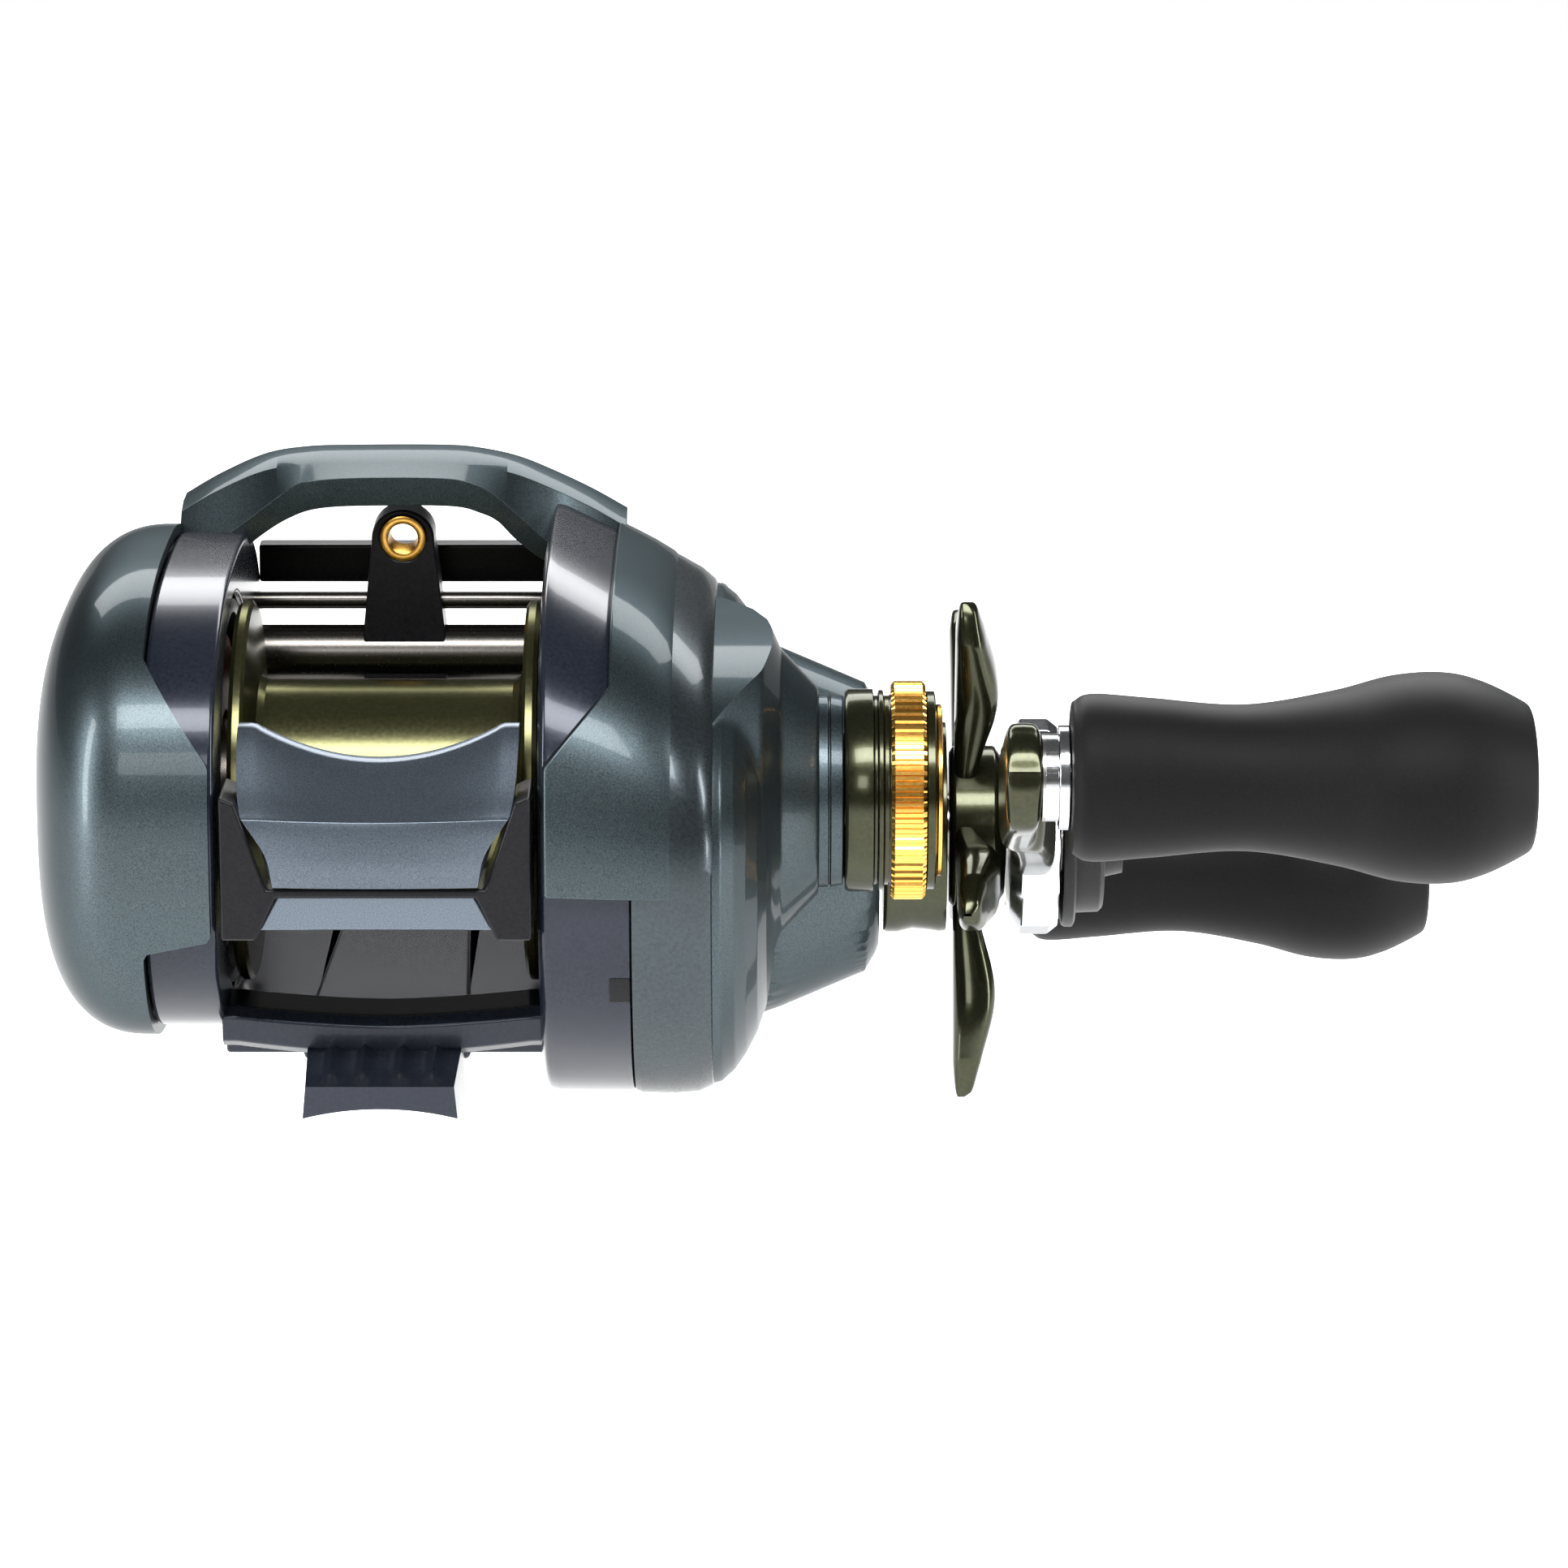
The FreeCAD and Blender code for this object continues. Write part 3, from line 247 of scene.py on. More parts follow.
def case_outline(turned_by, at, scale=1.0):
    """Side outline of the gear case, |y/a|^n + |z/b|^n = 1, with n by quarter and b less to the handle."""
    rise, run = np.sin(turned_by), np.cos(turned_by)
    power = np.where((rise < 0) & (run < 0), 2.1, np.where((rise > 0) & (run > 0), 3.6, 2.8))
    upper = 27.2 - 0.53 * np.clip(at - 14.3, 0, 15)
    tall = np.where(rise > 0, upper, 24.4)
    y = GEAR_CENTRE[0] + scale * 32.7 * np.sign(run) * np.abs(run) ** (2 / power)
    up = GEAR_CENTRE[1] + scale * tall * np.sign(rise) * np.abs(rise) ** (2 / power)
    return y, AXIS + up


def case_wall(name, stations, around_by, skin=1.4, close=True):
    """A wall on the case outline: out along (x, scale) stations, then back along its inside."""
    rows = []
    for at, scale in stations:
        y, z = case_outline(around_by, at, scale)
        rows.append(np.stack([at + 0 * y, y, z], -1)[0])
    inner = 1 - skin / 24.0
    for at, scale in stations[::-1]:
        y, z = case_outline(around_by, at, scale * inner)
        rows.append(np.stack([at + 0 * y, y, z], -1)[0])
    points = np.stack(rows, 0)
    if not close:
        core = points.mean(0, keepdims=True) + 0 * points
        points = np.concatenate([core[:, :1], points, core[:, -1:]], 1)
    return grid_mesh(name, points, wrap_across=True, wrap_along=close)


piece("palm_ring", "frame_body", navy,
      ring_between("palm_ring", (-20.1, -13.9), 17.65, PALM_CENTRE, (29.6, 20.2), PALM_POWER),
      ["frame"], bevel=0.5)
piece("gear_block", "frame_body", navy, case_wall("gear_block", [
    (13.9, 0.93), (14.3, 0.962), (15.2, 0.97), (21.9, 0.972)], around, skin=9.0), bevel=0.3)


def extrusion(name, outline, span, axis="x"):
    """A closed outline carried straight along one axis, with flat ends."""
    flat = np.asarray(outline, float)
    ends = []
    for at in span:
        column = np.full(len(flat), float(at))
        order = {"x": (column, flat[:, 0], flat[:, 1]), "y": (flat[:, 0], column, flat[:, 1]),
                 "z": (flat[:, 0], flat[:, 1], column)}[axis]
        ends.append(np.stack(order, -1))
    count = len(flat)
    points = np.concatenate(ends, 0) * MM
    ring = np.arange(count)
    after = (ring + 1) % count
    sides = np.stack([ring, after, after + count, ring + count], -1).tolist()
    mesh = bpy.data.meshes.new(name)
    mesh.from_pydata(points.tolist(), [], sides + [ring[::-1].tolist(), (ring + count).tolist()])
    return mesh


wing = np.linspace(-14.2, 14.2, 61)
dip = 1 - np.clip(np.abs(wing) / 13, 0, 1) ** 1.6
wing_top = AXIS - 15.2 - 0.9 * dip
wing_low = AXIS - 18.9 - 1.1 * dip
gull = np.stack([
    np.stack([wing, np.full(61, back), low], -1)
    for back, low in (
        (-17.4, wing_low + 0.8), (-16.2, wing_low), (-11.0, wing_low), (-10.4, wing_low + 0.8),
        (-10.4, wing_top - 0.6), (-11.2, wing_top), (-16.4, wing_top), (-17.4, wing_top - 0.8))], 0)
piece("gull_wing_bar", "frame_body", navy,
      grid_mesh("gull_wing_bar", gull, wrap_across=True), bevel=0.2)
piece("floor_plate", "frame_body", navy, extrusion(
    "floor_plate", [(-14.2, -14), (14.2, -14), (14.2, 24), (-14.2, 24)], (2.6, 4.6), "z"), bevel=0.4)

# Foot: part of the frame, hollowed underneath to sit on a round rod seat, with four grip ribs on its tail.
along_foot = np.linspace(-25.0, 36.0, 80)[:, None]
across_foot = np.linspace(-1, 1, 33)[None, :]
nose = 1 - 0.35 * np.clip((along_foot - 22) / 14, 0, 1) ** 2
half_width = (7.1 - 0.35 * np.clip((-16 - along_foot) / 9, 0, 1)) * nose
foot_x = half_width * across_foot
saddle_rise = np.sqrt(27.0 ** 2 - foot_x ** 2) - math.sqrt(27.0 ** 2 - 7.1 ** 2)
low_side = np.stack([foot_x, along_foot + 0 * foot_x, np.maximum(saddle_rise, 0)], -1)
thick = 2.1 + 1.6 * np.clip((along_foot + 25) / 12, 0, 1) - 2.2 * np.clip((along_foot - 24) / 12, 0, 1)
ribs = 0.55 * np.exp(-((np.abs(np.abs(foot_x) - 3.2) - 1.45) / 0.42) ** 2)
ribs = ribs * np.clip((along_foot + 24.2) / 1.0, 0, 1) * np.clip((-15.5 - along_foot) / 1.0, 0, 1)
top_side = np.stack([foot_x * 0.96, along_foot + 0 * foot_x, 0.9 + thick + ribs], -1)
foot_loop = np.concatenate([low_side, top_side[:, ::-1]], 1)
middle_of = foot_loop.mean(1, keepdims=True) + 0 * foot_loop[:, :1]
end_caps = np.concatenate([middle_of[:1] + 0 * foot_loop[:1], foot_loop,
                           middle_of[-1:] + 0 * foot_loop[-1:]], 0)
piece("foot", "frame_body", navy, grid_mesh("foot", end_caps, wrap_along=True), crease=50)
piece("foot_stem", "frame_body", navy, extrusion(
    "foot_stem", [(-7.4, -14), (7.4, -14), (6.0, 20), (-6.0, 20)], (2.0, 5.2), "z"), bevel=0.5)


# Arch: cast in one with the right shoulder, it bridges the level wind between the two side plates and
# has a wide bevel along its rear upper edge. A pocket in its underside clears the line guide.
def through(knots, count):
    """Catmull-Rom curve through a list of points, evenly shared between the knots."""
    knots = np.asarray(knots, float)
    knots = np.concatenate([2 * knots[:1] - knots[1:2], knots, 2 * knots[-1:] - knots[-2:-1]], 0)
    place = np.linspace(0, len(knots) - 3 - 1e-9, count)
    low = place.astype(int)
    part = (place - low)[:, None]
    a, b, c, d = (knots[low + step] for step in range(4))
    return 0.5 * (2 * b + (c - a) * part + (2 * a - 5 * b + 4 * c - d) * part ** 2
                  + (3 * b - a - 3 * c + d) * part ** 3)


bridge = np.linspace(-20.4, 20.6, 140)


def height_along(knots):
    """Height of a smooth line through (x, height) knots, read at each station of the bridge."""
    line = through(knots, 300)
    return np.interp(bridge, line[:, 0], line[:, 1])


outer_edge = height_along([
    (-20.6, 21.0), (-17, 23.1), (-12.9, 24.9), (-9.1, 25.55), (-4.6, 25.7), (3.6, 25.7),
    (7.1, 25.4), (10.6, 24.6), (14, 23.2), (17.5, 21.5), (20.8, 19.6)])
rear_edge = height_along([(-20.6, 17.4), (-16.1, 19.1), (-10.1, 23.5), (-8.1, 24.2), (-4, 24.5), (3, 24.5),
                          (6.2, 24.1), (8.9, 22.7), (13.5, 18.5), (16.0, 17.6), (20.8, 16.6)])
under_edge = height_along([
    (-20.6, 15.4), (-15.8, 16.2), (-13.6, 18.4), (-10.3, 20.6), (-6.9, 21.6), (0, 21.8),
    (5, 21.7), (7.3, 21.1), (8.9, 20.3), (10.8, 18.4), (14.0, 16.3), (20.8, 15.0)])
pocket = np.where(np.abs(bridge) < 13.2, np.maximum(under_edge, 21.3), under_edge)
section = [
    (pocket, 21.4, 0.0), (under_edge, 21.3, 0.0), (under_edge, 19.3, 0.0), (rear_edge, 18.9, 0.0),
    (outer_edge, 22.3, -0.55), (outer_edge, 24.6, 0.0), (outer_edge, 28.2, -0.05),
    (outer_edge, 29.2, -0.9), (pocket, 29.2, 0.2)]
arch = np.stack([np.stack([bridge, np.full(140, deep), AXIS + line + lift], -1)
                 for line, deep, lift in section], 0)
middle = arch.mean(0, keepdims=True)
arch = np.concatenate([middle[:, :1] + 0 * arch[:, :1], arch, middle[:, -1:] + 0 * arch[:, -1:]], 1)
piece("arch", "frame_body", paint, grid_mesh("arch", arch, wrap_across=True), ["top_cover"],
      bevel=0.3, crease=22)
black = finish("black_plastic", (0.006, 0.006, 0.007), 0.0, 0.32, grain=4000, spread=0.3, shine=0.25)
piece("front_bar", "frame_body", black, extrusion(
    "front_bar", [(29.4, AXIS + 12.2), (31.8, AXIS + 12.2), (31.8, AXIS + 15.8), (29.4, AXIS + 15.8)],
    (-13.9, 13.9)),
      ["front_crossbar"], bevel=0.3)


# Shoulder: the painted wall that carries the arch down on the handle side and laps over the frame. It stops
# at a level seam behind; below that the frame's own navy block shows, with a black patch on it that is
# painted shade standing for the dark inside of a slot.
sweep = np.linspace(math.radians(38), math.radians(178.9), 240)[None, :]
seam_y, seam_z = case_outline(sweep, 14.3)
lap = 19.9 - 5.6 * seam_step(seam_z - AXIS, seam_y, -30.0)
shoulder_rows = []
for share, scale in ((0.0, 0.985), (0.03, 1.0), (0.3, 1.0), (0.6, 0.998), (0.9, 0.99), (1.0, 0.98)):
    at = lap + (25.5 - lap) * share
    y, z = case_outline(sweep, at, scale)
    shoulder_rows.append(np.stack([at + 0 * y, y, z], -1)[0])
for share in (1.0, 0.5, 0.0):
    at = lap + (25.5 - lap) * share
    y, z = case_outline(sweep, at, 0.955)
    shoulder_rows.append(np.stack([at + 0 * y, y, z], -1)[0])
shoulder = np.stack(shoulder_rows, 0)
core = shoulder.mean(0, keepdims=True) + 0 * shoulder
piece("shoulder", "frame_body", paint, grid_mesh(
    "shoulder", np.concatenate([core[:, :1], shoulder, core[:, -1:]], 1), wrap_across=True),
      ["gear_case"], bevel=0.2)
# A thin black patch laid just over the navy block: painted shade for the inside of the slot, not a separate
# part.
slot_shade_turn = np.linspace(math.radians(-166), math.radians(-160), 12)[None, :]
piece("slot_shade_patch", "frame_body", black, case_wall("slot_shade_patch", [
    (20.0, 0.974), (20.3, 0.976), (21.8, 0.976)], slot_shade_turn, skin=1.0, close=False), bevel=0.1)

# Band: a polished dark plate between the shoulder and the handle side cover, rounded over at both edges.
band_grey = finish("polished_band", (0.036, 0.045, 0.050), 0.8, 0.28,
                   coat=0.15, grain=3000, spread=0.15, bump=0.005)
piece("band", "frame_body", band_grey, case_wall("band", [
    (21.95, 0.94), (22.0, 0.972), (22.6, 0.98), (25.6, 0.982), (27.6, 0.975), (28.8, 0.955),
    (29.2, 0.93)], around))

# Handle side cover: one painted casting, domed up from its rim, drawn out into a tapered boss on the spool
# axis and a barrel over the drive gear, and hollow behind. A skirt on its rim meets the band.
reach = np.linspace(0, 1, 180)[:, None] ** 0.8
around_cover = np.linspace(0, 2 * math.pi, 256, endpoint=False)[None, :]
cover_y, cover_z = case_outline(around_cover, 29.3, 0.955)
flat_y = GEAR_CENTRE[0] + (cover_y - GEAR_CENTRE[0]) * reach
flat_z = AXIS + GEAR_CENTRE[1] + (cover_z - AXIS - GEAR_CENTRE[1]) * reach
from_spool = np.hypot(flat_y, flat_z - AXIS)
from_main = np.hypot(flat_y - MAIN[0], flat_z - MAIN[1])
rise = np.stack([
    np.interp(reach + 0 * flat_y, [0, 0.55, 0.7, 0.8, 0.88, 0.94, 0.985, 1],
              [34.4, 34.2, 33.6, 32.8, 31.8, 30.8, 29.6, 28.2]),
    np.interp(from_spool, [0, 8.6, 9.3, 12.7, 16.5, 30], [38.3, 38.3, 38.15, 34.9, 33.2, 20]),
    np.interp(from_main, [0, 10.9, 11.7, 13.4, 16.7, 18.0, 30],
              [43.9, 43.9, 43.6, 42.6, 34.8, 31.0, 10])], 0)
softness = 0.16
level = 36
boss_face = 38.3
height = softness * np.log(np.exp((rise - level) / softness).sum(0)) + level
clear = np.clip((from_spool - 9.75) / 0.35, 0, 1)
height = np.where(height > boss_face, boss_face + (height - boss_face) * clear, height)
cover = np.stack([height, flat_y, flat_z], -1)
wall = 1.5
skirt_end = 26.7
skirt = np.stack([skirt_end + 0 * flat_y[-1:], flat_y[-1:], flat_z[-1:]], -1)
lip_share = 0.95
lip = np.stack([skirt_end + 0 * flat_y[-1:],
                GEAR_CENTRE[0] + (flat_y[-1:] - GEAR_CENTRE[0]) * lip_share,
                AXIS + GEAR_CENTRE[1] + (flat_z[-1:] - AXIS - GEAR_CENTRE[1]) * lip_share], -1)
within = int(np.searchsorted(reach[:, 0], lip_share))
lining = np.stack([np.maximum(height - wall, 25.6), flat_y, flat_z], -1)[:within][::-1]
back_of_cover = np.concatenate([skirt, lip, lining], 0)
piece("handle_side_cover", "frame_body", paint,
      grid_mesh("handle_side_cover", np.concatenate([cover, back_of_cover], 0), wrap_along=True),
      ["handle_side_plate"], crease=38)


def turned(name, profile, at=(0.0, AXIS), steps=160):
    """A closed (x, radius) profile spun about a line along X."""
    spun = np.linspace(0, 2 * math.pi, steps, endpoint=False)[:, None]
    line = np.asarray(profile, float)
    points = np.stack([line[None, :, 0] + 0 * spun, at[0] + line[None, :, 1] * np.cos(spun),
                       at[1] + line[None, :, 1] * np.sin(spun)], -1)
    return grid_mesh(name, points, wrap_across=True, wrap_along=True)


piece("cast_collars", "frame_body", paint, turned("cast_collars", [
    (38.0, 3.0), (38.0, 8.7), (39.1, 8.7), (39.1, 8.45), (39.3, 8.45), (39.3, 8.7), (40.4, 8.5),
    (40.4, 3.0)]), bevel=0.12)


# Spool: turned from aluminium and anodised olive, drilled out inside, with a stepped flange at each end.
olive = finish("olive_anodised", (0.085, 0.084, 0.040), 0.9, 0.24, grain=2500, spread=0.12, bump=0.01)
piece("spool_turned", "spool_body", olive, turned("spool_turned", [
    (-13.6, 8.8), (-13.6, 15.6), (-13.3, 16.2), (-13.5, 16.7), (-13.1, 17.0), (-12.5, 17.0), (-12.2, 16.6),
    (-12.0, 12.0), (-11.6, 10.4), (-11.0, 10.0), (11.0, 10.0), (11.6, 10.4), (12.0, 12.0), (12.2, 16.6),
    (12.5, 17.0), (13.1, 17.0), (13.5, 16.7), (13.3, 16.2), (13.6, 15.6), (13.6, 1.5), (11.6, 1.5),
    (11.6, 8.8)],
    steps=240), ["spool"], crease=30)


# Thumb bar: a metallic plate bent over a black slider. Its top edge is hollowed for the thumb, and its
# face has a crease across it and narrows to the bottom.
silver_blue = finish("silver_blue", (0.095, 0.115, 0.14), 0.85, 0.30,
                     coat=0.2, grain=9000, spread=0.3, bump=0.01)
side = np.linspace(-1, 1, 61)[None, :]
levels = through([(10.6, -19.0, 12.2), (9.4, -20.6, 12.2), (6.4, -24.0, 12.0), (4.6, -26.2, 11.6),
                  (4.0, -26.6, 11.2), (1.2, -27.0, 9.4), (-1.5, -27.2, 8.8)], 48)[:, :, None]
scoop = np.clip(1 - (side / 0.88) ** 2, 0, 1) * 2.9 * np.clip((levels[:, 0] - 4) / 6.6, 0, 1)
front_face = np.stack([levels[:, 2] * side, levels[:, 1] + 0.35 * side ** 2 - scoop * 0.10,
                       AXIS + levels[:, 0] - scoop], -1)
pad = np.concatenate([front_face, (front_face + np.array([0, 1.9, 0]))[::-1]], 0)
core = pad.mean(0, keepdims=True) + 0 * pad
thumb = grid_mesh("thumb_plate", np.concatenate([core[:, :1], pad, core[:, -1:]], 1), wrap_across=True)
piece("thumb_plate", "thumb_body", silver_blue, thumb, ["thumb_pad"], bevel=0.2, crease=40)
piece("thumb_slider", "thumb_body", black, extrusion(
    "thumb_slider", [(-13.4, AXIS + 6.4), (-12.0, AXIS + 5.8), (-9.4, AXIS - 1.8), (9.4, AXIS - 1.8),
                     (12.0, AXIS + 5.8), (13.4, AXIS + 6.4), (13.4, AXIS - 6.4), (10.4, AXIS - 6.4),
                     (8.6, AXIS - 2.6), (-8.6, AXIS - 2.6), (-10.4, AXIS - 6.4), (-13.4, AXIS - 6.4)],
    (-26.4, -19.2), "y"), ["thumb_bar_base"], bevel=0.3)
piece("thumb_strip", "thumb_body", silver_blue, extrusion(
    "thumb_strip", [(-8.5, AXIS - 2.4), (8.5, AXIS - 2.4), (10.2, AXIS - 5.6), (-10.2, AXIS - 5.6)],
    (-26.0, -20.0), "y"), bevel=0.3)


# Star drag: five curved blades stamped and formed from one plate, dyed olive-black and polished.
star_olive = finish("olive_black", (0.032, 0.034, 0.018), 0.85, 0.22,
                    coat=0.2, grain=2500, spread=0.15, bump=0.01)


def star_blade(number):
    """A blade whose half-width swells at mid-length, with a rounded tip that curls outwards."""
    angle = math.radians(-105 + 72 * number)
    out = np.linspace(5.0, 25.1, 44)[:, None]
    ring_step = np.linspace(0, 2 * math.pi, 28, endpoint=False)[None, :]
    tip = np.sqrt(np.clip((25.11 - out) / 3.2, 0, 1))
    wide = (2.3 + 0.9 * np.exp(-((out - 17) / 5) ** 2)) * np.clip(tip, 0, 1)
    swell = np.exp(-((out - 15.5) / 6.0) ** 2)
    left = 50.75 + 0.5 * (1 - tip)
    thick = (1.0 + 1.0 * swell) * tip ** 0.4
    across = wide * np.sign(np.cos(ring_step)) * np.abs(np.cos(ring_step)) ** 0.6
    through_x = left + thick * (1 + np.sign(np.sin(ring_step)) * np.abs(np.sin(ring_step)) ** 0.6)
    y = MAIN[0] + out * math.cos(angle) - across * math.sin(angle)
    z = MAIN[1] + out * math.sin(angle) + across * math.cos(angle)
    return np.stack([through_x, y, z], -1)


for number in range(5):
    blade = star_blade(number)
    closed = np.concatenate([blade[:1].mean(1, keepdims=True) + 0 * blade[:1], blade], 0)
    piece("star_blade_%d" % number, "star_body", star_olive,
          grid_mesh("star_blade_%d" % number, closed, wrap_along=True), crease=50)
piece("star_hub", "star_body", star_olive, turned("star_hub", [
    (50.4, 3.2), (50.4, 6.9), (50.8, 7.5), (54.6, 7.5), (55.5, 6.2), (55.7, 3.2)], MAIN),
      ["star_drag"], bevel=0.2)
piece("shaft_bell", "handle_body", star_olive, turned("shaft_bell", [
    (44.3, 3.0), (44.3, 9.6), (44.6, 9.8), (45.6, 9.8), (47.0, 9.45), (48.6, 9.6), (49.4, 9.75),
    (50.1, 9.7), (50.1, 3.0)], MAIN), ["shaft_sleeve"], bevel=0.1)


# Handle: a forged arm stepped back towards the star past its hub, the hub painted light silver as a painted
# reflection of the white floor on its olive metal, a nut under a black retainer, and a turned shaft at each
# end.
arm_turn = math.radians(159.65)


def along_arm(places):
    """Rounded-rectangle sections (distance along the arm, middle x, half thickness, half width)."""
    rows = through(places, 120)[:, :, None]
    ring_step = np.linspace(0, 2 * math.pi, 36, endpoint=False)[None, :]
    flat_x = rows[:, 1] + rows[:, 2] * np.sign(np.sin(ring_step)) * np.abs(np.sin(ring_step)) ** 0.45
    wide = rows[:, 3] * np.sign(np.cos(ring_step)) * np.abs(np.cos(ring_step)) ** 0.45
    y = MAIN[0] + rows[:, 0] * math.cos(arm_turn) - wide * math.sin(arm_turn)
    z = MAIN[1] + rows[:, 0] * math.sin(arm_turn) + wide * math.cos(arm_turn)
    return np.stack([flat_x, y, z], -1)


half_arm = [(52.7, 55.6, 1.4, 0.05), (52.2, 55.6, 1.5, 2.0), (50.8, 55.6, 1.6, 3.6), (48.0, 55.6, 1.6, 4.7),
            (38.4, 55.6, 1.6, 4.7), (30.9, 55.7, 1.6, 4.7), (27.6, 56.7, 1.7, 4.8), (20.3, 57.4, 1.8, 4.9),
            (11.7, 57.9, 2.0, 5.2)]
whole_arm = half_arm + [(-row[0], *row[1:]) for row in half_arm[::-1]]
arm_points = along_arm(whole_arm)
piece("crank_arm", "handle_body", star_olive,
      grid_mesh("crank_arm", arm_points, wrap_along=True), ["handle_arm"], crease=50)
# Plain bright metal on the knob shaft collars; on the arm hub the silver is a painted reflection that
# stands in for the white floor reflected in the olive metal.
bright_metal_and_reflection = finish("bright_metal_and_painted_reflection", (0.62, 0.64, 0.66), 1.0, 0.14, grain=3500, spread=0.08, bump=0.01)
piece("arm_hub", "handle_body", bright_metal_and_reflection, turned("arm_hub", [
    (55.9, 3.0), (55.9, 8.4), (57.0, 10.0), (59.5, 10.0), (60.5, 9.2), (60.5, 3.0)], MAIN, steps=14),
      bevel=0.15, crease=15)
matte = finish("matte_black", (0.012, 0.012, 0.012), 0.0, 0.5, grain=6000, spread=0.3, bump=0.06, shine=0.3)
piece("retainer_stack", "handle_body", matte, turned("retainer_stack", [
    (60.8, 5.2), (60.8, 9.1), (61.1, 9.3), (61.8, 9.3), (62.0, 8.9), (62.0, 8.0), (64.2, 7.9), (64.6, 7.5),
    (64.6, 1.0), (63.8, 1.0), (63.8, 5.2)], MAIN), ["nut_retainer"], bevel=0.1)


# Knobs: moulded soft black grips, waisted near the arm and swelling to a flattened bulb, hollowed at the
# end around a push-in cap.
rubber = finish("grip_rubber", (0.006, 0.006, 0.006), 0.0, 0.55,
                grain=14000, spread=0.35, bump=0.12, shine=0.12)
knob_line = through([
    (59.65, 0.0), (59.65, 5.6), (60.1, 6.7), (61.7, 7.2), (66.5, 6.85), (74.5, 6.25), (82.0, 7.35),
    (87.3, 8.65), (91.6, 8.9), (94.8, 8.2), (98.0, 6.7), (98.95, 5.9), (98.75, 4.7), (97.8, 3.8),
    (97.6, 0.0)], 160)
for name in ("rear", "front"):
    spot = tuple(value / MM for value in hinges["knob_%s_spin" % name]["pos_m"][1:])
    spin = np.linspace(0, 2 * math.pi, 120, endpoint=False)[:, None]
    radius = np.abs(knob_line[None, :, 1])
    depth = 1.0 + 0.24 * np.clip((knob_line[None, :, 0] - 68) / 17, 0, 1)
    grip = np.stack([knob_line[None, :, 0] + 0 * spin, spot[0] + radius * depth * np.cos(spin),
                     spot[1] + radius * np.sin(spin)], -1)
    piece("grip_" + name, "knob_%s_body" % name, rubber,
          grid_mesh("grip_" + name, grip, wrap_across=True), ["knob_" + name], crease=60)
    piece("shaft_collar_" + name, "handle_body", bright_metal_and_reflection, turned("shaft_collar_" + name, [
        (57.2, 2.1), (57.2, 3.5), (57.4, 3.75), (58.6, 3.75), (58.6, 4.5), (59.5, 4.5), (59.5, 2.1)],
        spot, 96), bevel=0.08)


# Cast control: an olive cap screwed over the boss, with a knurled gold ring and a small gold end disc.
piece("cast_cap", "cast_body", star_olive, turned("cast_cap", [
    (40.6, 7.15), (40.6, 8.9), (40.9, 9.1), (43.1, 9.1), (43.2, 8.5), (43.5, 8.5), (43.6, 9.0), (44.0, 9.0),
    (44.1, 8.5), (44.5, 8.5), (44.6, 8.6), (47.8, 8.6), (47.9, 8.9), (48.6, 8.9), (48.7, 8.5), (48.7, 0.0),
    (44.4, 0.0), (44.4, 7.15)]), ["cast_control_cap"], bevel=0.08)
gold = finish("gold_anodised", (0.78, 0.42, 0.09), 1.0, 0.22, grain=4000, spread=0.12, bump=0.01)
rib_count = 64
ribbed = np.linspace(0, 2 * math.pi, rib_count * 12, endpoint=False)[:, None]
knurl = 0.1 * np.clip(np.sin(rib_count * ribbed) * 2.5, -1, 1)
ring_line = np.array([(44.7, 8.6, 0), (44.7, 9.45, 0.2), (45.0, 9.7, 1), (46.2, 9.7, 1), (47.5, 9.7, 1),
                      (47.8, 9.45, 0.2), (47.8, 8.6, 0)])
ring_r = ring_line[None, :, 1] + knurl * ring_line[None, :, 2]
gold_ring = np.stack([ring_line[None, :, 0] + 0 * ring_r, ring_r * np.cos(ribbed),
                      AXIS + ring_r * np.sin(ribbed)], -1)
piece("knurled_ring", "cast_body", gold,
      grid_mesh("knurled_ring", gold_ring, wrap_across=True, wrap_along=True),
      ["cast_control_ring"], crease=25)
piece("gold_disc", "cast_body", gold, turned("gold_disc", [
    (48.7, 0), (48.7, 7.6), (48.9, 7.75), (49.2, 7.7), (49.3, 7.4), (49.3, 0)]), ["cast_control_disc"])


# Line guide: a black moulding that rides on the worm tube and the steel bar, with a brass-lined eye.
eye_height = 18.1
guide = [(-3.8, 3.1), (-3.8, 9.0), (-3.3, 14.0), (-2.9, 17.6)]
arc = np.linspace(math.pi, 0, 20)
guide += [(2.9 * math.cos(step), eye_height + 2.7 * math.sin(step)) for step in arc]
guide += [(2.9, 17.6), (3.3, 14.0), (3.8, 9.0), (3.8, 3.1)]
outline_loop = np.array(guide)
hole_angle = np.arctan2(outline_loop[:, 1] - eye_height, outline_loop[:, 0])
rim = np.stack([2.1 * np.cos(hole_angle), eye_height + 2.1 * np.sin(hole_angle)], -1)
guide_rows = [(rim, 21.9), (outline_loop, 21.9), (outline_loop, 26.0), (rim, 26.0)]
guide_points = np.stack([np.stack([line[:, 0], np.full(len(line), deep), AXIS + line[:, 1]], -1)
                         for line, deep in guide_rows], 0)
piece("guide_moulding", "guide_body", black,
      grid_mesh("guide_moulding", guide_points, wrap_across=True, wrap_along=True),
      ["line_guide"], bevel=0.3)
eye_steps = np.linspace(0, 2 * math.pi, 64, endpoint=False)[:, None]
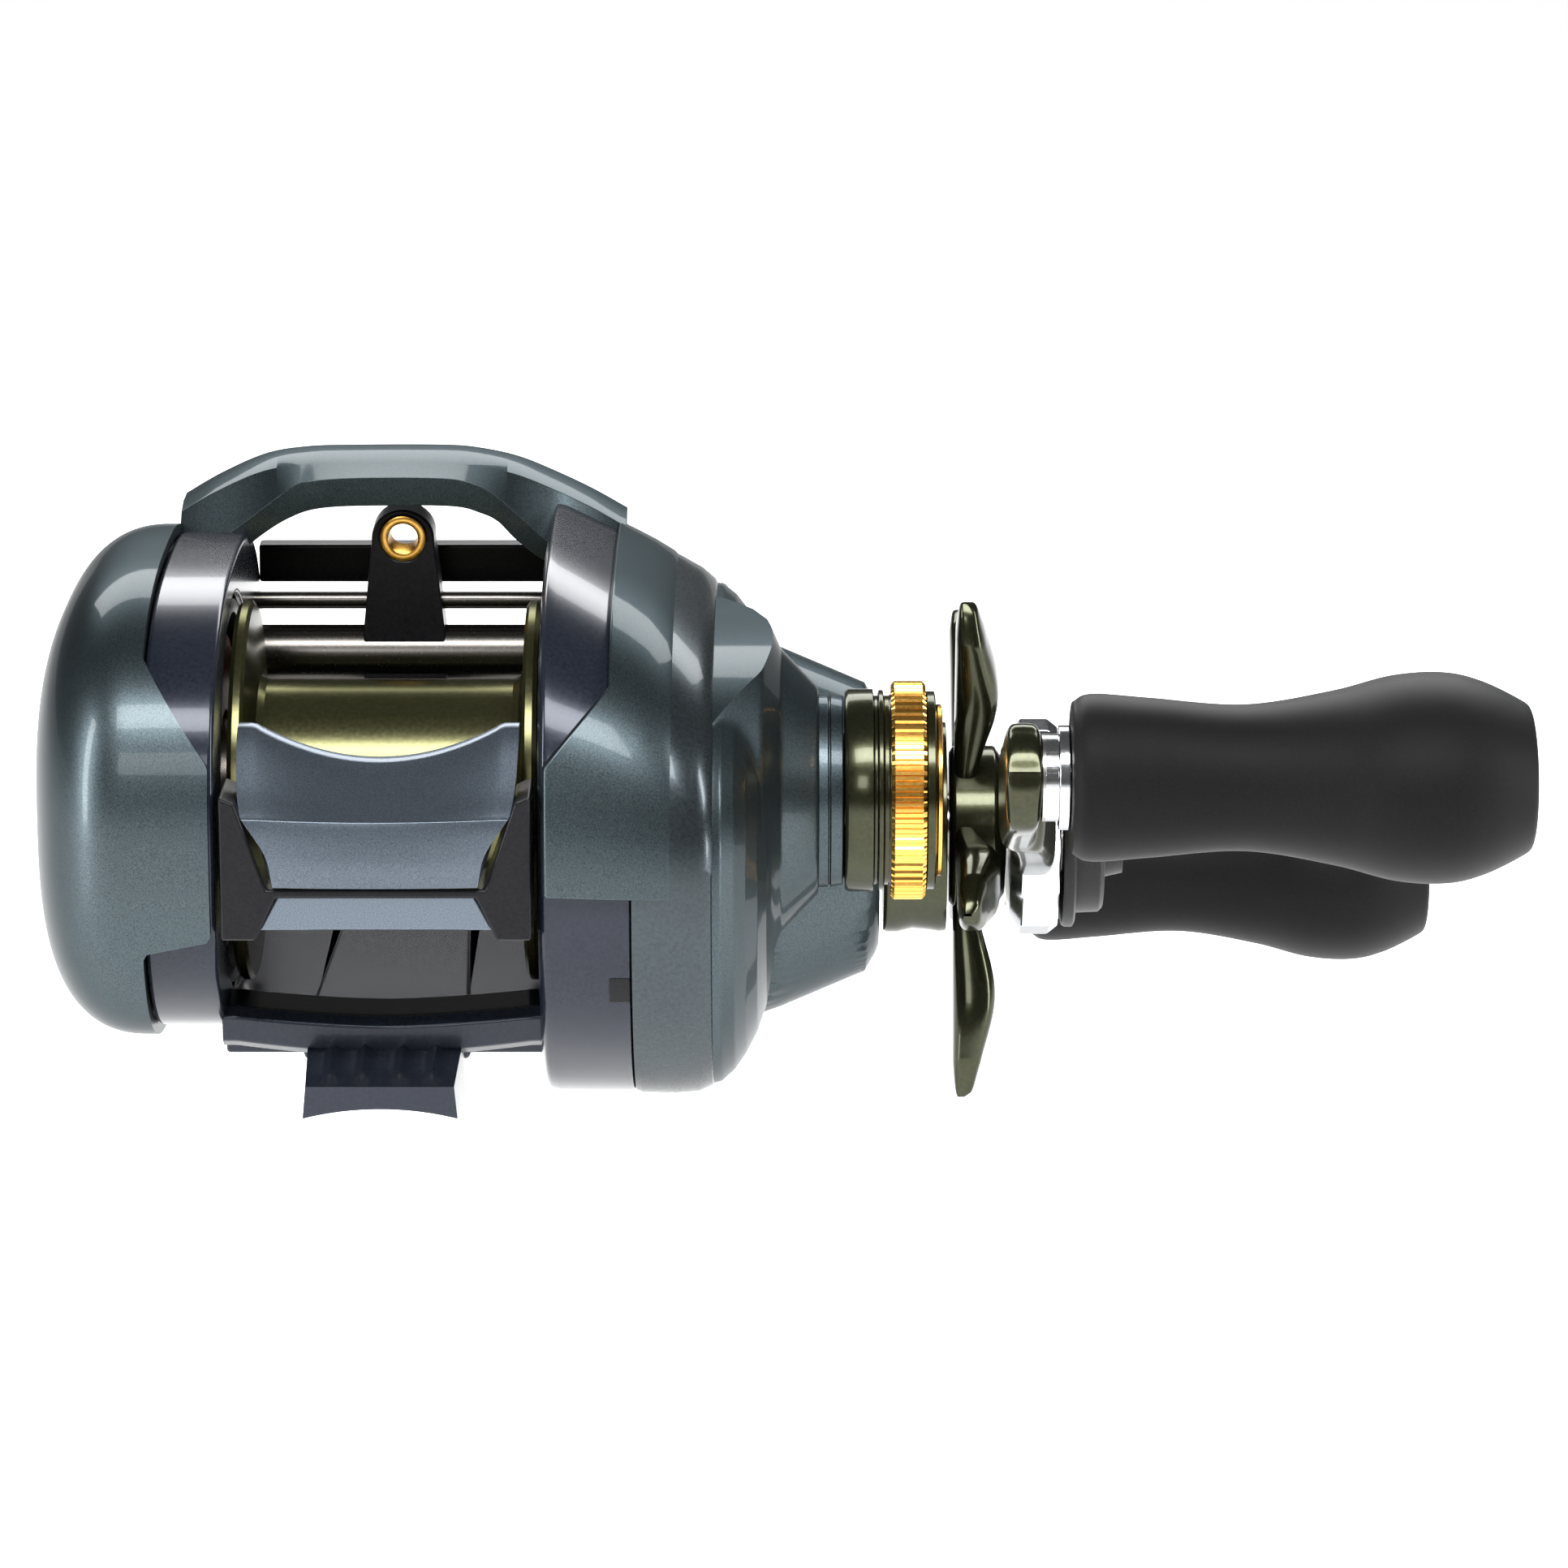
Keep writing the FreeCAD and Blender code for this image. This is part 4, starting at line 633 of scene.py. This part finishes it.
eye_line = np.array([(21.8, 1.75), (21.9, 1.4), (22.6, 1.3), (25.4, 1.3), (26.1, 1.4), (26.2, 1.75),
                     (26.1, 2.1), (21.9, 2.1)])
eye = np.stack([eye_line[None, :, 1] * np.cos(eye_steps), eye_line[None, :, 0] + 0 * eye_steps,
                AXIS + eye_height + eye_line[None, :, 1] * np.sin(eye_steps)], -1)
piece("eye_ring", "guide_body", gold,
      grid_mesh("eye_ring", eye, wrap_across=True, wrap_along=True), ["line_eye"], crease=60)


# Works: the turned, cut and moulded parts that keep their machined shapes and take only a finish.
steel = finish("turned_steel", (0.42, 0.41, 0.39), 1.0, 0.24, grain=3500, spread=0.1)
dark_steel = finish("dark_steel", (0.085, 0.080, 0.074), 1.0, 0.26, grain=3500, spread=0.1)
brass = finish("cut_brass", (0.62, 0.42, 0.16), 1.0, 0.28, grain=3500, spread=0.12)
copper = finish("enamelled_copper", (0.45, 0.17, 0.07), 0.9, 0.35, grain=5000, spread=0.25)
board_green = finish("board_green", (0.01, 0.09, 0.03), 0.0, 0.4, grain=3000, spread=0.3)
carbon = finish("woven_carbon", (0.03, 0.03, 0.03), 0.1, 0.5, grain=8000, spread=0.5, bump=0.1)
WORKS = {
    dark_steel: ["level_wind_bar", "worm_tube"],
    steel: ["spool_bearing_handle", "main_shaft_bearing", "pinion_bearing", "one_way_bearing",
            "side_screw_1", "side_screw_2", "side_screw_3", "spool_bearing_palm", "spool_shaft",
            "spool_drive_pin", "rotor_magnet", "main_shaft", "drag_washer_metal",
            "drag_pressure_plate", "handle_nut", "knob_shaft_rear", "knob_shaft_front", "pawl",
            "worm_shaft"],
    brass: ["worm_bushing_palm", "worm_bushing_gear", "pinion_gear", "drive_gear"],
    black: ["brake_housing", "brake_dial", "clutch_yoke", "level_wind_drive_gear", "idle_gear",
            "worm_gear"],
    matte: ["retainer_screw", "knob_cap_rear", "knob_cap_front"],
    copper: ["brake_coil"],
    board_green: ["circuit_board"],
    carbon: ["drag_washer_inner", "drag_washer_outer"],
}
for material, members in WORKS.items():
    for member in members:
        kept = frame["nodes"][member]
        for place in kept.material_slots:
            place.link = "OBJECT"
            place.material = material
